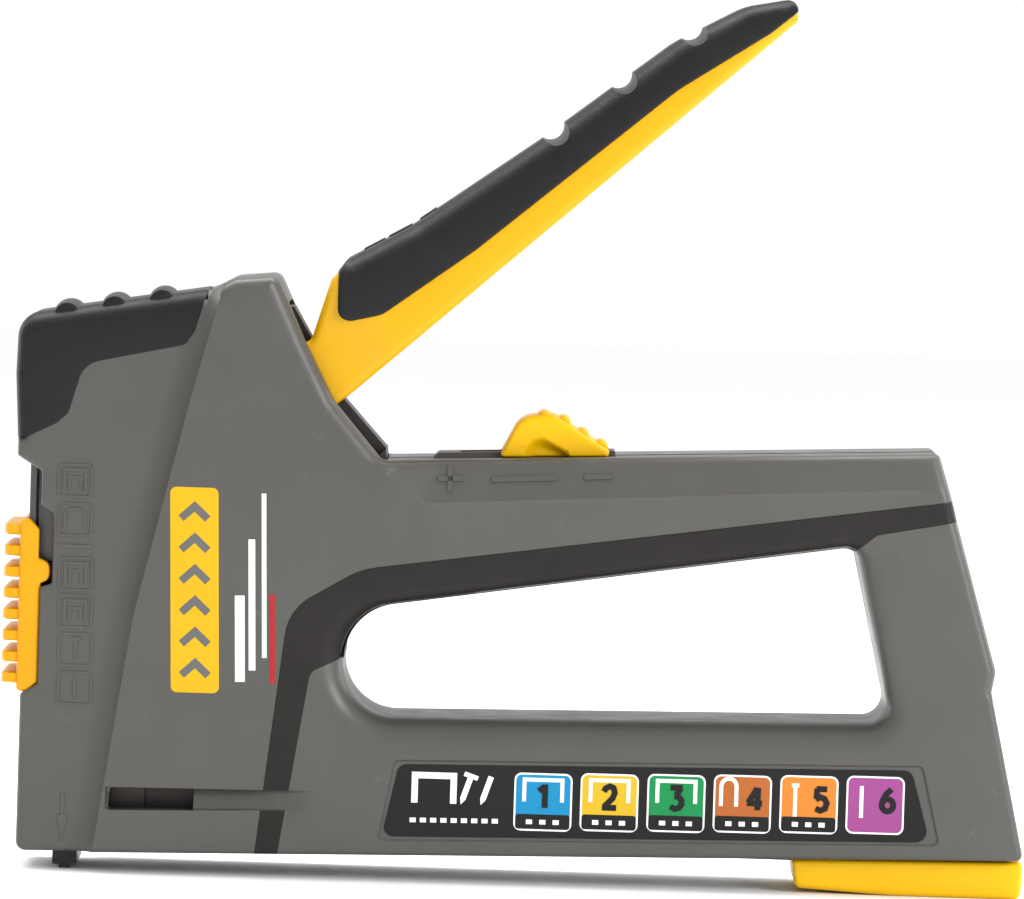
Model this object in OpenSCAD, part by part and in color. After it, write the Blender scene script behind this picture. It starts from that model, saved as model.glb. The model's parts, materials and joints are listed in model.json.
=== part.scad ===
// Heavy-duty hand staple gun.
// X runs from the nose (front) to the grip's rear, Y across the tool, Z up.
// The origin is the centre of the nose's work face, where a fastener leaves.

/* [Housing] */
// Width of the body across its side faces
body_w = 32; // [30:0.5:36]
// Width of the narrower front column
column_w = 26; // [25.6:0.2:28]
// Thickness of the cast housing walls
wall = 2.3; // [1.8:0.1:2.6]
// Thickness of the soft skin on the sides of the front cap
skin = 1; // [0.8:0.1:1.4]

/* [Handle] */
// Angle of the squeeze handle above the magazine, at rest
handle_angle = 41.6; // [38:0.2:44]
// Width of the handle across its soft grip
handle_w = 26.4; // [25:0.2:30]
// Width of the hollow under the handle
channel_w = 17.4; // [17.2:0.2:18.4]

/* [Drive] */
// Width of the driver blade
blade_w = 12; // [10:0.2:12.2]
// Thickness of the driver blade
blade_t = 1.1; // [0.8:0.1:1.2]
// Thickness of one leaf of the power spring
leaf_t = 2; // [1.5:0.1:2.2]

/* [Magazine] */
// Width of the rail that the staples ride on
rail_w = 8.8; // [8:0.2:9]
// Top of the staple rail above the work face
rail_top = 17.3; // [16:0.1:17.5]

/* [Power selector] */
// Width of the power knob
knob_w = 15; // [13:0.5:16]

/* [Hidden] */
$fn = 48;
half = body_w / 2;
column = column_w / 2;
inner = half - wall;
column_inner = column - wall;
band = half - 1.6;
handle_half = handle_w / 2;
shell_half = handle_half - 0.7;
core_half = handle_half - 2;
neck_half = 11;
channel_half = channel_w / 2;
slot_half = 11.6;
arm_slope = 2.3;
skin_proud = 0.2;
cap_seat = column + skin_proud - skin;
strip_seat = 0.8;
label_seat = 0.4;
badge_seat = 0.3;

// Handle pivot and the lever's front pin, in X and Z
pivot = [31, 90];
pivot_r = 3;
lever_pin = [0.92, 82.5];

// Outlines are lists of [x, z, corner radius].
housing_outline = [
    [-9.4, 3.6, 1.6], [187.2, 7.9, 1.2], [171.6, 76.6, 2], [168.2, 86.2, 1.5],
    [66, 82.1, 3], [60, 82, 3], [50.2, 93.4, 12], [44.3, 104.8, 12], [38.4, 117.4, 2],
    [30.3, 116.6, 3], [26.6, 114.6, 1.5], [25, 114.3, 0], [25, 112.5, 0],
    [-9.9, 106.5, 3.5], [-9.9, 84.3, 0], [-10.9, 84.3, 0], [-10.9, 80.8, 0.6],
    [-6.2, 77.8, 0.8], [-6.2, 71.2, 0.6], [-3.7, 69.6, 0.8], [-3.7, 56, 0.8],
    [-6, 55.2, 0], [-6, 36.4, 0.6], [-9.4, 34.2, 0.4]
];
loop_outline = [[53.5, 52.8, 11], [53.5, 31.7, 10.5], [160.6, 33.7, 4], [152.6, 68.3, 3]];
// The wide middle of the side face, behind the slanting crease
main_outline = [
    [5, 3.4, 0], [187.6, 7.4, 0], [168.6, 81.2, 1], [67, 75, 4], [49.3, 93, 12],
    [37.6, 116, 1.5], [28.5, 115.6, 0], [22.5, 93.5, 40], [12.5, 50.5, 60]
];
// The sloping band along the top of the upper arm
band_outline = [[55, 84.5, 0], [67, 74, 0], [172, 80, 0], [172, 88, 0], [55, 84.6, 0]];
rear_pad_outline = [[170, 76.4, 0], [172.2, 73.6, 1], [180.7, 44.6, 1.2], [180, 40.4, 1], [176, 44, 0]];

cap_outline = [
    [25, 114.4, 0.4], [-11.6, 108.2, 5], [-11.9, 97, 12], [-11.1, 84.3, 0], [-9.2, 84.5, 0],
    [-3.6, 87.3, 1.5], [-1.4, 89.3, 1], [1.4, 99, 5], [20.9, 103.3, 1.6], [22.8, 106, 0.8]
];
strip_outline = [
    [168.8, 77, 0.5], [56.5, 60.9, 16], [42.6, 52.6, 10], [37.2, 5, 0], [41.6, 5, 0],
    [47.2, 41, 2], [55, 45, 0], [58, 56, 9], [152.5, 70.8, 1], [157, 70.6, 2], [170.1, 73.2, 0.6]
];
label_outline = [[65, 23.1, 1.8], [62, 8.9, 1.8], [168.8, 11, 2.2], [164.8, 25, 2.2]];
label_recess = [[64, 23.9, 1], [61.2, 8, 1], [170.7, 10.4, 1], [167, 25.9, 1]];
badge_outline = [[19.6, 74.6, 1.2], [20.4, 36.6, 1.2], [28.9, 36.8, 1.2], [28.1, 74.8, 1.2]];
window_outline = [[8.4, 12.4, 0.6], [25.6, 12.8, 0], [25.6, 17, 0], [8.9, 16.9, 0.6]];
window_groove = [[25.6, 12.8, 0], [50, 13.6, 0], [50, 17.2, 0], [25.6, 17, 0]];

// Handle outlines lie in its own frame: along its underside and square to it, from the pivot.
handle_bottom = -11.4;
shell_profile = [
    [-4, -6, 3], [8, -10.6, 6], [20, handle_bottom, 0], [133, handle_bottom, 1], [135.2, -9, 1],
    [127.6, -8.6, 8], [106.7, -6.1, 30], [56.4, -4.8, 30], [34, -3.4, 5], [27.2, 0.6, 2],
    [33.8, 8.6, 0.5], [31.2, 8.2, 1], [20.6, 1.6, 2], [10, 5.5, 4], [-4, 6, 3]
];
grip_profile = [
    [26.9, 0.4, 1.4], [28, -1.3, 1.4], [33, -3.9, 6], [56.4, -5.4, 30], [106.7, -6.7, 30],
    [127.6, -9.8, 8], [134.4, -10, 0.8], [135.4, -7.6, 2], [127, -2.6, 12], [112, 0.9, 20],
    [80, 3, 60], [49.7, 6.2, 30], [36.1, 9.2, 1.5], [33.4, 8.6, 0.5]
];
core_profile = [
    [30, -2, 1], [30, -8, 0], [131, -8, 1], [127, -5, 6], [112, -2.3, 12], [80, 0.4, 30],
    [49.7, 3.4, 20], [36, 6.2, 1]
];
channel_profile = [
    [-12, -16, 0], [129, -16, 0], [129, -9.6, 1], [112, -5.3, 6], [80, -2.6, 20],
    [49.7, 0.4, 10], [34, 2.4, 2], [21.6, -1.6, 1], [18.6, 12, 0], [-12, 12, 0]
];
groove_u = [83.1, 99.7, 116.3];
groove_v = [4.5, 3.9, 2.2];
rivet_uv = [[27, -4.9], [47, -5]];

// The cocking lever runs from its front pin past the pivot and up inside the handle
function handle_corner(u, v, r) = [
    pivot[0] + u * cos(handle_angle) - v * sin(handle_angle),
    pivot[1] + u * sin(handle_angle) + v * cos(handle_angle), r
];
cocking_outline = [
    [-4.2, 85.5, 4.1], [-2.1, 77.4, 4.1], handle_corner(-1.6, -6.6, 6.6),
    handle_corner(52, -7.2, 2), handle_corner(52, -2.8, 2), handle_corner(20, -2.7, 3),
    handle_corner(4, 6.2, 4), handle_corner(1.6, 6.6, 5)
];
lever_in = 7;
lever_out = 8.5;

screw_spots = [[14, 34], [34, 58], [30, 107], [160, 79.4], [173, 30], [105, 26]];
screw_r = 1.5;
boss_r = 3.5;
head_r = 3;

plunger_x = [-7, 6];
plunger_z = [60, 87];
plunger_half = 6.6;
guide_top = 54;
guide_half = 8;
blade_slot = 0.65;

leaf_front = [-3.4, 70];
leaf_rear_x = 152;
leaf_half = 5;
anchor_x = [140, 156];
anchor_bolts = [-7.2, 7.2];

front_plate_x = [-8.6, -7.4];
selector_half = 12.5;
selector_in = 9.9;
selector_ribs = 8;
selector_pitch = 4.15;

channel_x = [2.5, 183];
channel_top = 21;
channel_out = 8.4;
sheet = 1;
rail_half = rail_w / 2;
rod_z = 10.2;
foot_screw_x = 176;
foot_screw_y = [-4.5, 4.5];
foot_head_top = 1.4;
foot_outline = [[142.2, 6.6, 0.8], [143, 1, 1.2], [162, 0, 20], [187, 0, 1.4], [187.4, 7.3, 1]];

knob_outline = [
    [82.6, 83.1, 0.6], [86.6, 91.3, 4.5], [93, 92.2, 4.5], [100.5, 87.7, 3],
    [104.2, 84.9, 0.8], [103.9, 83.9, 0.4]
];
knob_insert = [[69.8, 82.6, 0], [70.8, 83.5, 0.4], [105.3, 84.9, 0.4], [105.3, 81.3, 0], [69.8, 79.9, 0]];

shield_outer = [[39.4, 111.2], [41.7, 111.2], [45.2, 105.2], [51.8, 93.6], [60.5, 84.1]];
shield_inner = [[58.6, 82.4], [49.8, 92.2], [43.1, 104.1], [40.4, 109], [38.8, 110.6]];
// Cross flanges at both ends, which sit in the sides of the opening
shield_top = [[39.2, 111.3], [37.4, 110], [38.5, 108.8], [40.3, 110.1]];
shield_foot = [[60.5, 84.1], [58.6, 82.4], [60, 81.2], [60.7, 82.2]];

// ---- 2D helpers ----

function unit(v) = v / norm(v);
function flat(p) = [p[0], p[1]];

// One rounded corner: the points of the arc of radius r that is tangent to both of its sides.
function corner(a, b, c, r, steps) =
    let (
        u = unit(a - b),
        v = unit(c - b),
        turn = acos(max(-1, min(1, u * v))),
        centre = b + unit(u + v) * r / sin(turn / 2),
        start = b + u * r / tan(turn / 2),
        from = atan2(start[1] - centre[1], start[0] - centre[0]),
        side = sign(u[0] * v[1] - u[1] * v[0])
    )
    [for (i = [0:steps])
        let (at = from - side * (180 - turn) * i / steps)
        centre + r * [cos(at), sin(at)]];

function rounded(pts, steps = 5) =
    let (n = len(pts))
    [for (i = [0:n - 1])
        let (p = pts[i], a = flat(pts[(i + n - 1) % n]), c = flat(pts[(i + 1) % n]))
        each p[2] > 0 ? corner(a, flat(p), c, p[2], steps) : [flat(p)]];

// ---- 3D helpers ----

// A plate in the XZ plane between two Y values
module slab(y0, y1) {
    translate([0, y1, 0]) rotate([90, 0, 0]) linear_extrude(height = y1 - y0) children();
}

module plate(pts, y0, y1) {
    slab(y0, y1) polygon(pts);
}

module block(x, y, z) {
    translate([x[0], y[0], z[0]]) cube([x[1] - x[0], y[1] - y[0], z[1] - z[0]]);
}

module rod_y(at, r, y0, y1) {
    translate([at[0], y1, at[1]]) rotate([90, 0, 0]) cylinder(r = r, h = y1 - y0);
}

module rod_x(at, r, x0, x1) {
    translate([x0, at[0], at[1]]) rotate([0, 90, 0]) cylinder(r = r, h = x1 - x0);
}

module both_sides() {
    children();
    mirror([0, 1, 0]) children();
}

// Puts the handle's own frame in place
module on_handle() {
    translate([pivot[0], 0, pivot[1]]) rotate([0, -handle_angle, 0]) children();
}

// Puts a frame along the power spring, which runs parallel to the upper arm
module on_leaf() {
    translate([leaf_front[0], 0, leaf_front[1]]) rotate([0, -arm_slope, 0]) children();
}

// A tube of round section that follows a path of points
module wire(path, r, sides = 6) {
    n = len(path);
    rings = [for (i = [0:n - 1])
        let (
            d = unit(path[min(i + 1, n - 1)] - path[max(i - 1, 0)]),
            s = unit(cross(d, abs(d[1]) > 0.9 ? [1, 0, 0] : [0, 1, 0])),
            t = cross(d, s)
        )
        each [for (k = [0:sides - 1])
            path[i] + r * (cos(360 * k / sides) * s + sin(360 * k / sides) * t)]];
    walls = [for (i = [0:n - 2], k = [0:sides - 1])
        let (a = i * sides + k, b = i * sides + (k + 1) % sides)
        each [[a, a + sides, b + sides], [a, b + sides, b]]];
    first = [for (k = [1:sides - 2]) [0, k, k + 1]];
    end = (n - 1) * sides;
    last = [for (k = [1:sides - 2]) [end, end + k + 1, end + k]];
    polyhedron(points = rings, faces = concat(walls, first, last), convexity = 8);
}

// ---- Housing ----

module opening_cuts() {
    // Back of the column, where the handle swings
    plate([[35, 111.4], [47, 113], [70, 83.6], [60.9, 83.6], [60.9, 79], [36, 79]], -slot_half, slot_half);
    // Underside, for the magazine
    block([1, 190], [-channel_out - 0.3, channel_out + 0.3], [-1, 10.6]);
    block([181, 190], [-channel_out - 0.3, channel_out + 0.3], [0, channel_top + 0.3]);
    // Nose
    block([-3.8, 3], [-guide_half - 0.3, guide_half + 0.3], [-1, 8]);
    // Front, behind the selector slide
    block([-8.7, 8], [-9.6, 9.6], [31.4, 81.6]);
    // Slot for the power knob's insert
    plate([[69.7, 78], [105.4, 79.6], [105.4, 90], [69.7, 90]], -5.1, 5.1);
}

module shell_solid() {
    difference() {
        union() {
            plate(rounded(housing_outline), -column, 0);
            intersection() {
                plate(rounded(main_outline), -half, -column);
                plate(rounded(housing_outline), -half, -column);
            }
            intersection() {
                plate(rounded(band_outline), -band, -column);
                plate(rounded(housing_outline), -band, -column);
            }
            plate(rounded(rear_pad_outline), -9, 0);
        }
        plate(rounded(loop_outline, 8), -half - 1, 1);
    }
}

module shell_cavity() {
    slab(-column_inner, 1) difference() {
        offset(delta = -wall) polygon(rounded(housing_outline));
        offset(delta = wall) polygon(rounded(loop_outline));
    }
    intersection() {
        slab(-inner, -column_inner) difference() {
            offset(delta = -wall) polygon(rounded(main_outline));
            offset(delta = wall) polygon(rounded(loop_outline));
        }
        slab(-inner, -column_inner) offset(delta = -wall) polygon(rounded(housing_outline));
    }
}

// Seats for the bonded soft parts, the labels and the staple window
module shell_recesses() {
    plate(rounded(cap_outline), -half - 1, -cap_seat);
    intersection() {
        plate(rounded(strip_outline), -half - 1, -half + strip_seat);
        plate(rounded(main_outline), -half - 1, -half + strip_seat);
    }
    plate(rounded(label_recess), -half - 1, -half + label_seat);
    plate(rounded(badge_outline), -half - 1, -half + badge_seat);
    plate(rounded(window_outline), -half - 1, 0);
    plate(rounded(window_groove), -half - 1, -half + 1);
}

// Bosses and ribs on the inside of a shell
module shell_ribs() {
    for (p = screw_spots) rod_y(p, boss_r, -inner - 0.5, 0);
    rod_y(pivot, 6.5, -inner - 0.5, -slot_half - 0.2);
    // Nose, damper and magazine supports
    for (z = [10, 46]) block([-2.4, 2.4], [-column_inner - 0.5, -guide_half - 0.05], [z, z + 3]);
    block([1.2, 6], [-column_inner - 0.5, -6.6], [guide_top + 0.1, 55.9]);
    block([6.3, 7.8], [-column_inner - 0.5, -5.6], [57, 77]);
    for (x = [60, 130]) block([x, x + 3], [-inner - 0.5, -channel_out - 0.05], [9.4, 19]);
}

module shell() {
    difference() {
        union() {
            difference() {
                shell_solid();
                shell_cavity();
                opening_cuts();
                shell_recesses();
            }
            shell_ribs();
        }
        rod_y(pivot, pivot_r + 0.02, -14.6, 0);
    }
}

module left_housing() {
    color("dimgray") difference() {
        shell();
        for (p = screw_spots) rod_y(p, screw_r, -10, 1);
    }
}

module right_housing() {
    color("dimgray") mirror([0, 1, 0]) difference() {
        shell();
        for (p = screw_spots) {
            rod_y(p, screw_r + 0.3, -half - 1, 1);
            rod_y(p, head_r + 0.25, -half - 1, -inner + 0.3);
        }
    }
}

module housing_screws() {
    color("silver") for (p = screw_spots) difference() {
        union() {
            rod_y(p, screw_r - 0.02, -9.6, inner);
            rod_y(p, head_r, inner - 0.3, inner + 1.9);
        }
        rod_y(p, 1.2, inner + 0.6, inner + 3);
    }
}

// ---- Soft skins, labels ----

module front_cap() {
    color([0.13, 0.12, 0.13]) difference() {
        union() {
            plate(rounded(cap_outline), -column - skin_proud, column + skin_proud);
            for (x = [-2.2, 6.9, 16.2])
                rod_y([x, 109.6 + 0.168 * x], 2.6, -8.5, 8.5);
        }
        plate(rounded(housing_outline), -cap_seat, cap_seat);
    }
}

module grip_strip() {
    intersection() {
        plate(rounded(strip_outline), -half - skin_proud, -half + strip_seat);
        plate(rounded(main_outline), -half - skin_proud, -half + strip_seat);
    }
}

module strip_clear_of_loop() {
    difference() {
        children();
        plate(rounded(loop_outline), -half - 2, half + 2);
        plate(rounded(window_groove), -half - 2, half + 2);
    }
}

module left_grip_strip() {
    color([0.16, 0.15, 0.14]) strip_clear_of_loop() grip_strip();
}

module right_grip_strip() {
    color([0.16, 0.15, 0.14]) strip_clear_of_loop() mirror([0, 1, 0]) grip_strip();
}

module side_label() {
    plate(rounded(label_outline), -half + 0.15, -half + label_seat);
}

module left_label() {
    color("black") side_label();
}

module right_label() {
    color("black") mirror([0, 1, 0]) side_label();
}

module side_badge() {
    plate(rounded(badge_outline), -half, -half + badge_seat);
}

module left_badge() {
    color("gold") side_badge();
}

module right_badge() {
    color("gold") mirror([0, 1, 0]) side_badge();
}

module dust_shield() {
    color([0.2, 0.17, 0.16]) union() {
        plate(concat(shield_outer, shield_inner), -5.9, 5.9);
        plate(shield_top, -slot_half + 0.2, slot_half - 0.2);
        plate(shield_foot, -slot_half + 0.2, slot_half - 0.2);
    }
}

// ---- Nose and drive ----

module front_plate() {
    color("gray") difference() {
        block(front_plate_x, [-9.5, 9.5], [31.6, 81.4]);
        block([-9, -7], [-2.4, 2.4], [38, 54]);
    }
}

module nose_guide() {
    color([0.2, 0.2, 0.22]) difference() {
        union() {
            block([-1.1, 1.1], [-guide_half, guide_half], [0, guide_top]);
            // Stiffening face in front of the blade's slot
            block([-2.4, -1], [-guide_half, guide_half], [0.7, guide_top]);
        }
        block([-blade_slot, 2], [-6.1, 6.1], [-1, guide_top + 1]);
    }
}

module nose_rear_plate() {
    color([0.35, 0.35, 0.38]) difference() {
        block([1.1, 2.4], [-guide_half, guide_half], [1.1, guide_top]);
        block([1, 3], [-6.8, 6.8], [3.6, 19.4]);
    }
}

module plunger_damper() {
    color("black") difference() {
        block([-6.8, 6], [-guide_half, guide_half], [56, 59.8]);
        block([-0.8, 0.8], [-6.3, 6.3], [55, 61]);
    }
}

module plunger() {
    color("slategray") difference() {
        block(plunger_x, [-plunger_half, plunger_half], plunger_z);
        // Window for the lever's roller
        block([-3.6, 4.6], [-plunger_half - 1, plunger_half + 1], [lever_pin[1] - 3.4, lever_pin[1] + 3.4]);
        // Pocket for the power spring
        block([-4.2, 7], [-leaf_half - 0.4, leaf_half + 0.4], [66.6, 73.6]);
        // Seat of the driver blade
        block([-blade_t / 2, blade_t / 2], [-blade_w / 2, blade_w / 2], [59, 65.5]);
        rod_x([0, 63], 1.22, -8, 7);
    }
}

module driver_blade() {
    color("silver") difference() {
        block([-blade_t / 2, blade_t / 2], [-blade_w / 2, blade_w / 2], [0.4, 65.5]);
        rod_x([0, 63], 1.22, -2, 2);
    }
}

module blade_rivet() {
    color("silver") rod_x([0, 63], 1.2, -6.9, 5.9);
}

module pivot_pin() {
    color("silver") rod_y(pivot, pivot_r, -14.5, 14.5);
}

// A torsion spring round the pivot pin, with one leg on the shield and one on the lever
module handle_spring() {
    turns = 6;
    coil = [for (i = [0:turns * 14])
        let (a = 360 * i / 14 + 190)
        [pivot[0] + 4.6 * cos(a), -5.2 + 10.4 * i / (turns * 14), pivot[1] + 4.6 * sin(a)]];
    color("silver") wire(concat(
        [[36, -5.2, 78]], [for (p = coil) p], [[16, 5.2, 81.5]]), 0.75);
}

module cocking_plate() {
    difference() {
        plate(rounded(cocking_outline), lever_in, lever_out);
        rod_y(pivot, pivot_r + 0.06, 0, 20);
        rod_y(lever_pin, 2.02, 0, 20);
        on_handle() for (p = rivet_uv) rod_y(p, 1.52, 0, 20);
    }
}

module cocking_lever() {
    color("slategray") both_sides() cocking_plate();
}

module lever_rivets() {
    color("silver") on_handle() for (p = rivet_uv) both_sides() rod_y(p, 1.5, lever_in, 10);
}

module lever_cross_pin() {
    color("silver") rod_y(lever_pin, 2, -8.7, 8.7);
}

module lever_roller() {
    color("gray") difference() {
        rod_y(lever_pin, 3, -6, 6);
        rod_y(lever_pin, 2.06, -7, 7);
    }
}

module main_leaf() {
    color("steelblue") on_leaf()
        block([0, leaf_rear_x - leaf_front[0]], [-leaf_half, leaf_half], [-leaf_t / 2, leaf_t / 2]);
}

module second_leaf() {
    color("steelblue") on_leaf()
        block([62, leaf_rear_x - leaf_front[0]], [-leaf_half, leaf_half], [-1.5 * leaf_t, -leaf_t / 2]);
}

module leaf_anchor() {
    x0 = anchor_x[0] - leaf_front[0];
    x1 = anchor_x[1] - leaf_front[0];
    color("gray") on_leaf() difference() {
        block([x0, x1], [-column_inner + 0.2, column_inner - 0.2], [-1.5 * leaf_t - 2, 4.4]);
        block([x0 - 1, leaf_rear_x - leaf_front[0] + 0.05], [-leaf_half - 0.1, leaf_half + 0.1],
            [-1.5 * leaf_t, leaf_t / 2]);
        for (y = anchor_bolts) translate([x0 + 8, y, -10]) cylinder(r = 1.65, h = 20);
    }
}

module anchor_bolt() {
    color("silver") on_leaf() for (y = anchor_bolts) translate([anchor_x[0] - leaf_front[0] + 8, y, 0]) {
        translate([0, 0, -4.8]) cylinder(r = 1.6, h = 9.2);
        translate([0, 0, 4.4]) cylinder(r = 2.8, h = 1.6);
    }
}

// ---- Handle ----

module handle_shell() {
    color("gold") on_handle() difference() {
        union() {
            plate(rounded(shell_profile), -neck_half, neck_half);
            intersection() {
                plate(rounded(shell_profile), -shell_half, shell_half);
                block([33, 140], [-20, 20], [-20, 20]);
            }
            plate(rounded(core_profile), -core_half, core_half);
        }
        plate(rounded(channel_profile), -channel_half, channel_half);
        rod_y([0, 0], pivot_r + 0.5, -20, 20);
        for (p = rivet_uv) rod_y(p, 1.52, -10.05, 10.05);
    }
}

module handle_grip() {
    color([0.18, 0.17, 0.19]) on_handle() difference() {
        plate(rounded(grip_profile), -handle_half, handle_half);
        plate(rounded(core_profile), -core_half, core_half);
        intersection() {
            plate(rounded(shell_profile), -handle_half - 1, handle_half + 1);
            block([20, 36], [-20, 20], [-20, 20]);
        }
        plate(rounded(shell_profile), -shell_half, shell_half);
        for (i = [0:2]) rod_y([groove_u[i], groove_v[i]], 3.2, -20, 20);
    }
}

// ---- Power selector ----

module adjuster_rail() {
    color([0.2, 0.19, 0.19]) difference() {
        plate(rounded(knob_insert), -5, 5);
        block([75, 98], [-2.9, 2.9], [70, 90]);
    }
}

module power_knob() {
    color("gold") difference() {
        plate(rounded(knob_outline), -knob_w / 2, knob_w / 2);
        plate([[80, 78], [80, 84.15], [108, 85.3], [108, 78]], -5.3, 5.3);
        block([87.4, 96.6], [-2.6, 2.6], [80, 89.4]);
        rod_y([92, 87.5], 1.02, -5.8, 5.8);
    }
}

module fulcrum_block() {
    rest = leaf_t / 2 + 0.08;
    color("slategray") difference() {
        union() {
            on_leaf() block([90.6, 100.6], [-8, 8], [rest, rest + 5.2]);
            block([87.6, 96.4], [-2.5, 2.5], [78, 89.2]);
        }
        rod_y([92, 87.5], 1.02, -10, 10);
    }
}

module knob_pin() {
    color("silver") rod_y([92, 87.5], 1, -5.6, 5.6);
}

module power_detent() {
    color("silver") plate([[106, 79.7], [106, 79.2], [114, 79.5], [114, 80]], -4, 4);
}

// ---- Fastener selector on the front ----

module selector_slide() {
    rib_low = 37.2;
    color("orange") difference() {
        union() {
            plate(rounded([[-12.2, 68.4, 1.5], [-12.2, 35, 1], [-8.6, 34.8, 0.6], [-6.3, 36.4, 0.6],
                [-6.3, 66.4, 0.6], [-8.4, 68.4, 0.8]]), -selector_half, selector_half);
            rod_y([-6.1, 58.2], 2.2, -selector_half, selector_half);
            for (i = [0:selector_ribs - 1])
                rod_y([-12.2, rib_low + i * selector_pitch], 1.15, -selector_half + 0.8, selector_half - 0.8);
        }
        block([-8.85, 0], [-selector_in, selector_in], [30, 75]);
    }
    color("orange") block([-9.2, -3.7], [-2, 2], [40.4, 43.6]);
}

module selector_plate() {
    color("gray") difference() {
        block([-3.6, -2.8], [-5, 5], [20, 46]);
        block([-4, -2], [-1.2, 1.2], [18, 30]);
    }
}

module selector_detent() {
    color("silver") block([-7.3, -6.9], [-9, -7.4], [36, 50]);
}

// ---- Magazine ----

module magazine_channel() {
    color("gray") difference() {
        block(channel_x, [-channel_out, channel_out], [8.7, channel_top]);
        block([0, 200], [-channel_out + sheet, channel_out - sheet], [8, channel_top - sheet]);
        block([8, 27], [-10, 10], [12, 17.6]);
    }
}

module magazine_detent() {
    color("silver") block([165, 177], [-2, 2], [19.3, 19.8]);
}

module staple_rail() {
    color("silver") difference() {
        block([2.9, 180], [-rail_half, rail_half], [5.6, rail_top]);
        block([0, 200], [-rail_half + sheet, rail_half - sheet], [4, rail_top - sheet]);
        block([171.8, 200], [-rail_half - 1, rail_half + 1], [4, 8.6]);
    }
}

module magazine_foot() {
    color("gold") difference() {
        plate(rounded(foot_outline), -12.5, 12.5);
        block([146, 183.4], [-9.5, 9.5], [2.2, 9]);
        block([140, 190], [-rail_half - 0.3, rail_half + 0.3], [5.3, 9]);
        foot_screw_shape(-1, 0.04);
    }
}

// The screws' heads and shanks, from a low level up, and wider by a gap
module foot_screw_shape(low, gap) {
    for (y = foot_screw_y) translate([foot_screw_x, y, low]) {
        if (low < foot_head_top) cylinder(r = 2.3 + gap, h = foot_head_top - low);
        cylinder(r = 1.22 + gap, h = 7.7 - low);
    }
}

// Joins the rail to the foot through the slot in the underside
module magazine_end_block() {
    color("black") difference() {
        union() {
            block([172, 183.2], [-7.2, 7.2], [2.4, 8.4]);
            block([180.2, 184.4], [-7.2, 7.2], [7.5, 19]);
            block([172, 180.2], [-rail_half + sheet + 0.05, rail_half - sheet - 0.05], [8.4, 15.8]);
        }
        rod_x([0, rod_z], 1.02, 170, 183.6);
        foot_screw_shape(1.5, 0.03);
    }
}

module foot_screws() {
    color("silver") difference() {
        foot_screw_shape(0.4, 0);
        for (y = foot_screw_y)
            block([foot_screw_x - 3, foot_screw_x + 3], [y - 0.3, y + 0.3], [0, 0.9]);
    }
}

module pusher_rod() {
    color("silver") rod_x([0, rod_z], 1, 4, 183);
}

module pusher() {
    color("dimgray") difference() {
        block([3.2, 15.2], [-6.4, 6.4], [4.9, 19.2]);
        // Hollow that rides over the rail
        block([2, 17], [-rail_half - 0.15, -rail_half + sheet + 0.15], [5.45, rail_top + 0.15]);
        block([2, 17], [rail_half - sheet - 0.15, rail_half + 0.15], [5.45, rail_top + 0.15]);
        block([2, 17], [-rail_half, rail_half], [rail_top - sheet - 0.15, rail_top + 0.15]);
        rod_x([0, rod_z], 1.08, 2, 17);
    }
}

module pusher_spring() {
    turns = 36;
    steps = 10;
    path = [for (i = [0:turns * steps])
        let (a = 360 * i / steps)
        [15.7 + (171.6 - 15.7) * i / (turns * steps), 2.1 * cos(a), rod_z + 2.1 * sin(a)]];
    color("silver") wire(path, 0.4, 5);
}

left_housing();
right_housing();
housing_screws();
front_cap();
left_grip_strip();
right_grip_strip();
left_label();
right_label();
left_badge();
right_badge();
dust_shield();
front_plate();
nose_guide();
nose_rear_plate();
plunger_damper();
pivot_pin();
handle_spring();
main_leaf();
second_leaf();
leaf_anchor();
anchor_bolt();
adjuster_rail();
power_detent();
selector_detent();
magazine_channel();
magazine_detent();
handle_shell();
handle_grip();
cocking_lever();
lever_rivets();
lever_cross_pin();
lever_roller();
plunger();
driver_blade();
blade_rivet();
power_knob();
fulcrum_block();
knob_pin();
selector_slide();
selector_plate();
staple_rail();
magazine_foot();
magazine_end_block();
foot_screws();
pusher_rod();
pusher();
pusher_spring();
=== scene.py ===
import json
import math

import bmesh
import bpy
import numpy as np
from mathutils import Matrix, Vector, geometry


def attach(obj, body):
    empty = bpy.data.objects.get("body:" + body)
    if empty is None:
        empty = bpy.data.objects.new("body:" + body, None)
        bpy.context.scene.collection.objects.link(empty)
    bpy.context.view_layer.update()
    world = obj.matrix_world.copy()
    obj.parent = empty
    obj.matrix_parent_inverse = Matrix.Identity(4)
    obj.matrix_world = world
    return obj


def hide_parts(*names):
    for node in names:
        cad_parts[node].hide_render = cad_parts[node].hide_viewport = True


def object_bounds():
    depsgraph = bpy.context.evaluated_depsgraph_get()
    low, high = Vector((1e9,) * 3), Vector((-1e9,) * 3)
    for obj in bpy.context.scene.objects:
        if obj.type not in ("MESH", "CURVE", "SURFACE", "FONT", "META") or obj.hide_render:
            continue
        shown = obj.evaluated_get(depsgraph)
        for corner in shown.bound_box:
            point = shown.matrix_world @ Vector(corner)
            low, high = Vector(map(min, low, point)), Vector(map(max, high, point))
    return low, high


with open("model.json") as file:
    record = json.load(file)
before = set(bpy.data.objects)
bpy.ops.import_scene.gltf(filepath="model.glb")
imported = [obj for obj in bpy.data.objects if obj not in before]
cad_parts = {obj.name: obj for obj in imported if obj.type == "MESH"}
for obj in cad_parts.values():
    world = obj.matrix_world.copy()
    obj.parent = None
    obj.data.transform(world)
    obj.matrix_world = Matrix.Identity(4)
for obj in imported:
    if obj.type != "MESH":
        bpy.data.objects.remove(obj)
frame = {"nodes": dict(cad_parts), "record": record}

CAD_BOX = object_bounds()
MM = 0.001

# ---------------------------------------------------------------- outlines
# Corners are (x, z, corner radius, edge radius) in mm. The edge radius rounds
# the rim of the piece along the side that starts at that corner.

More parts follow.
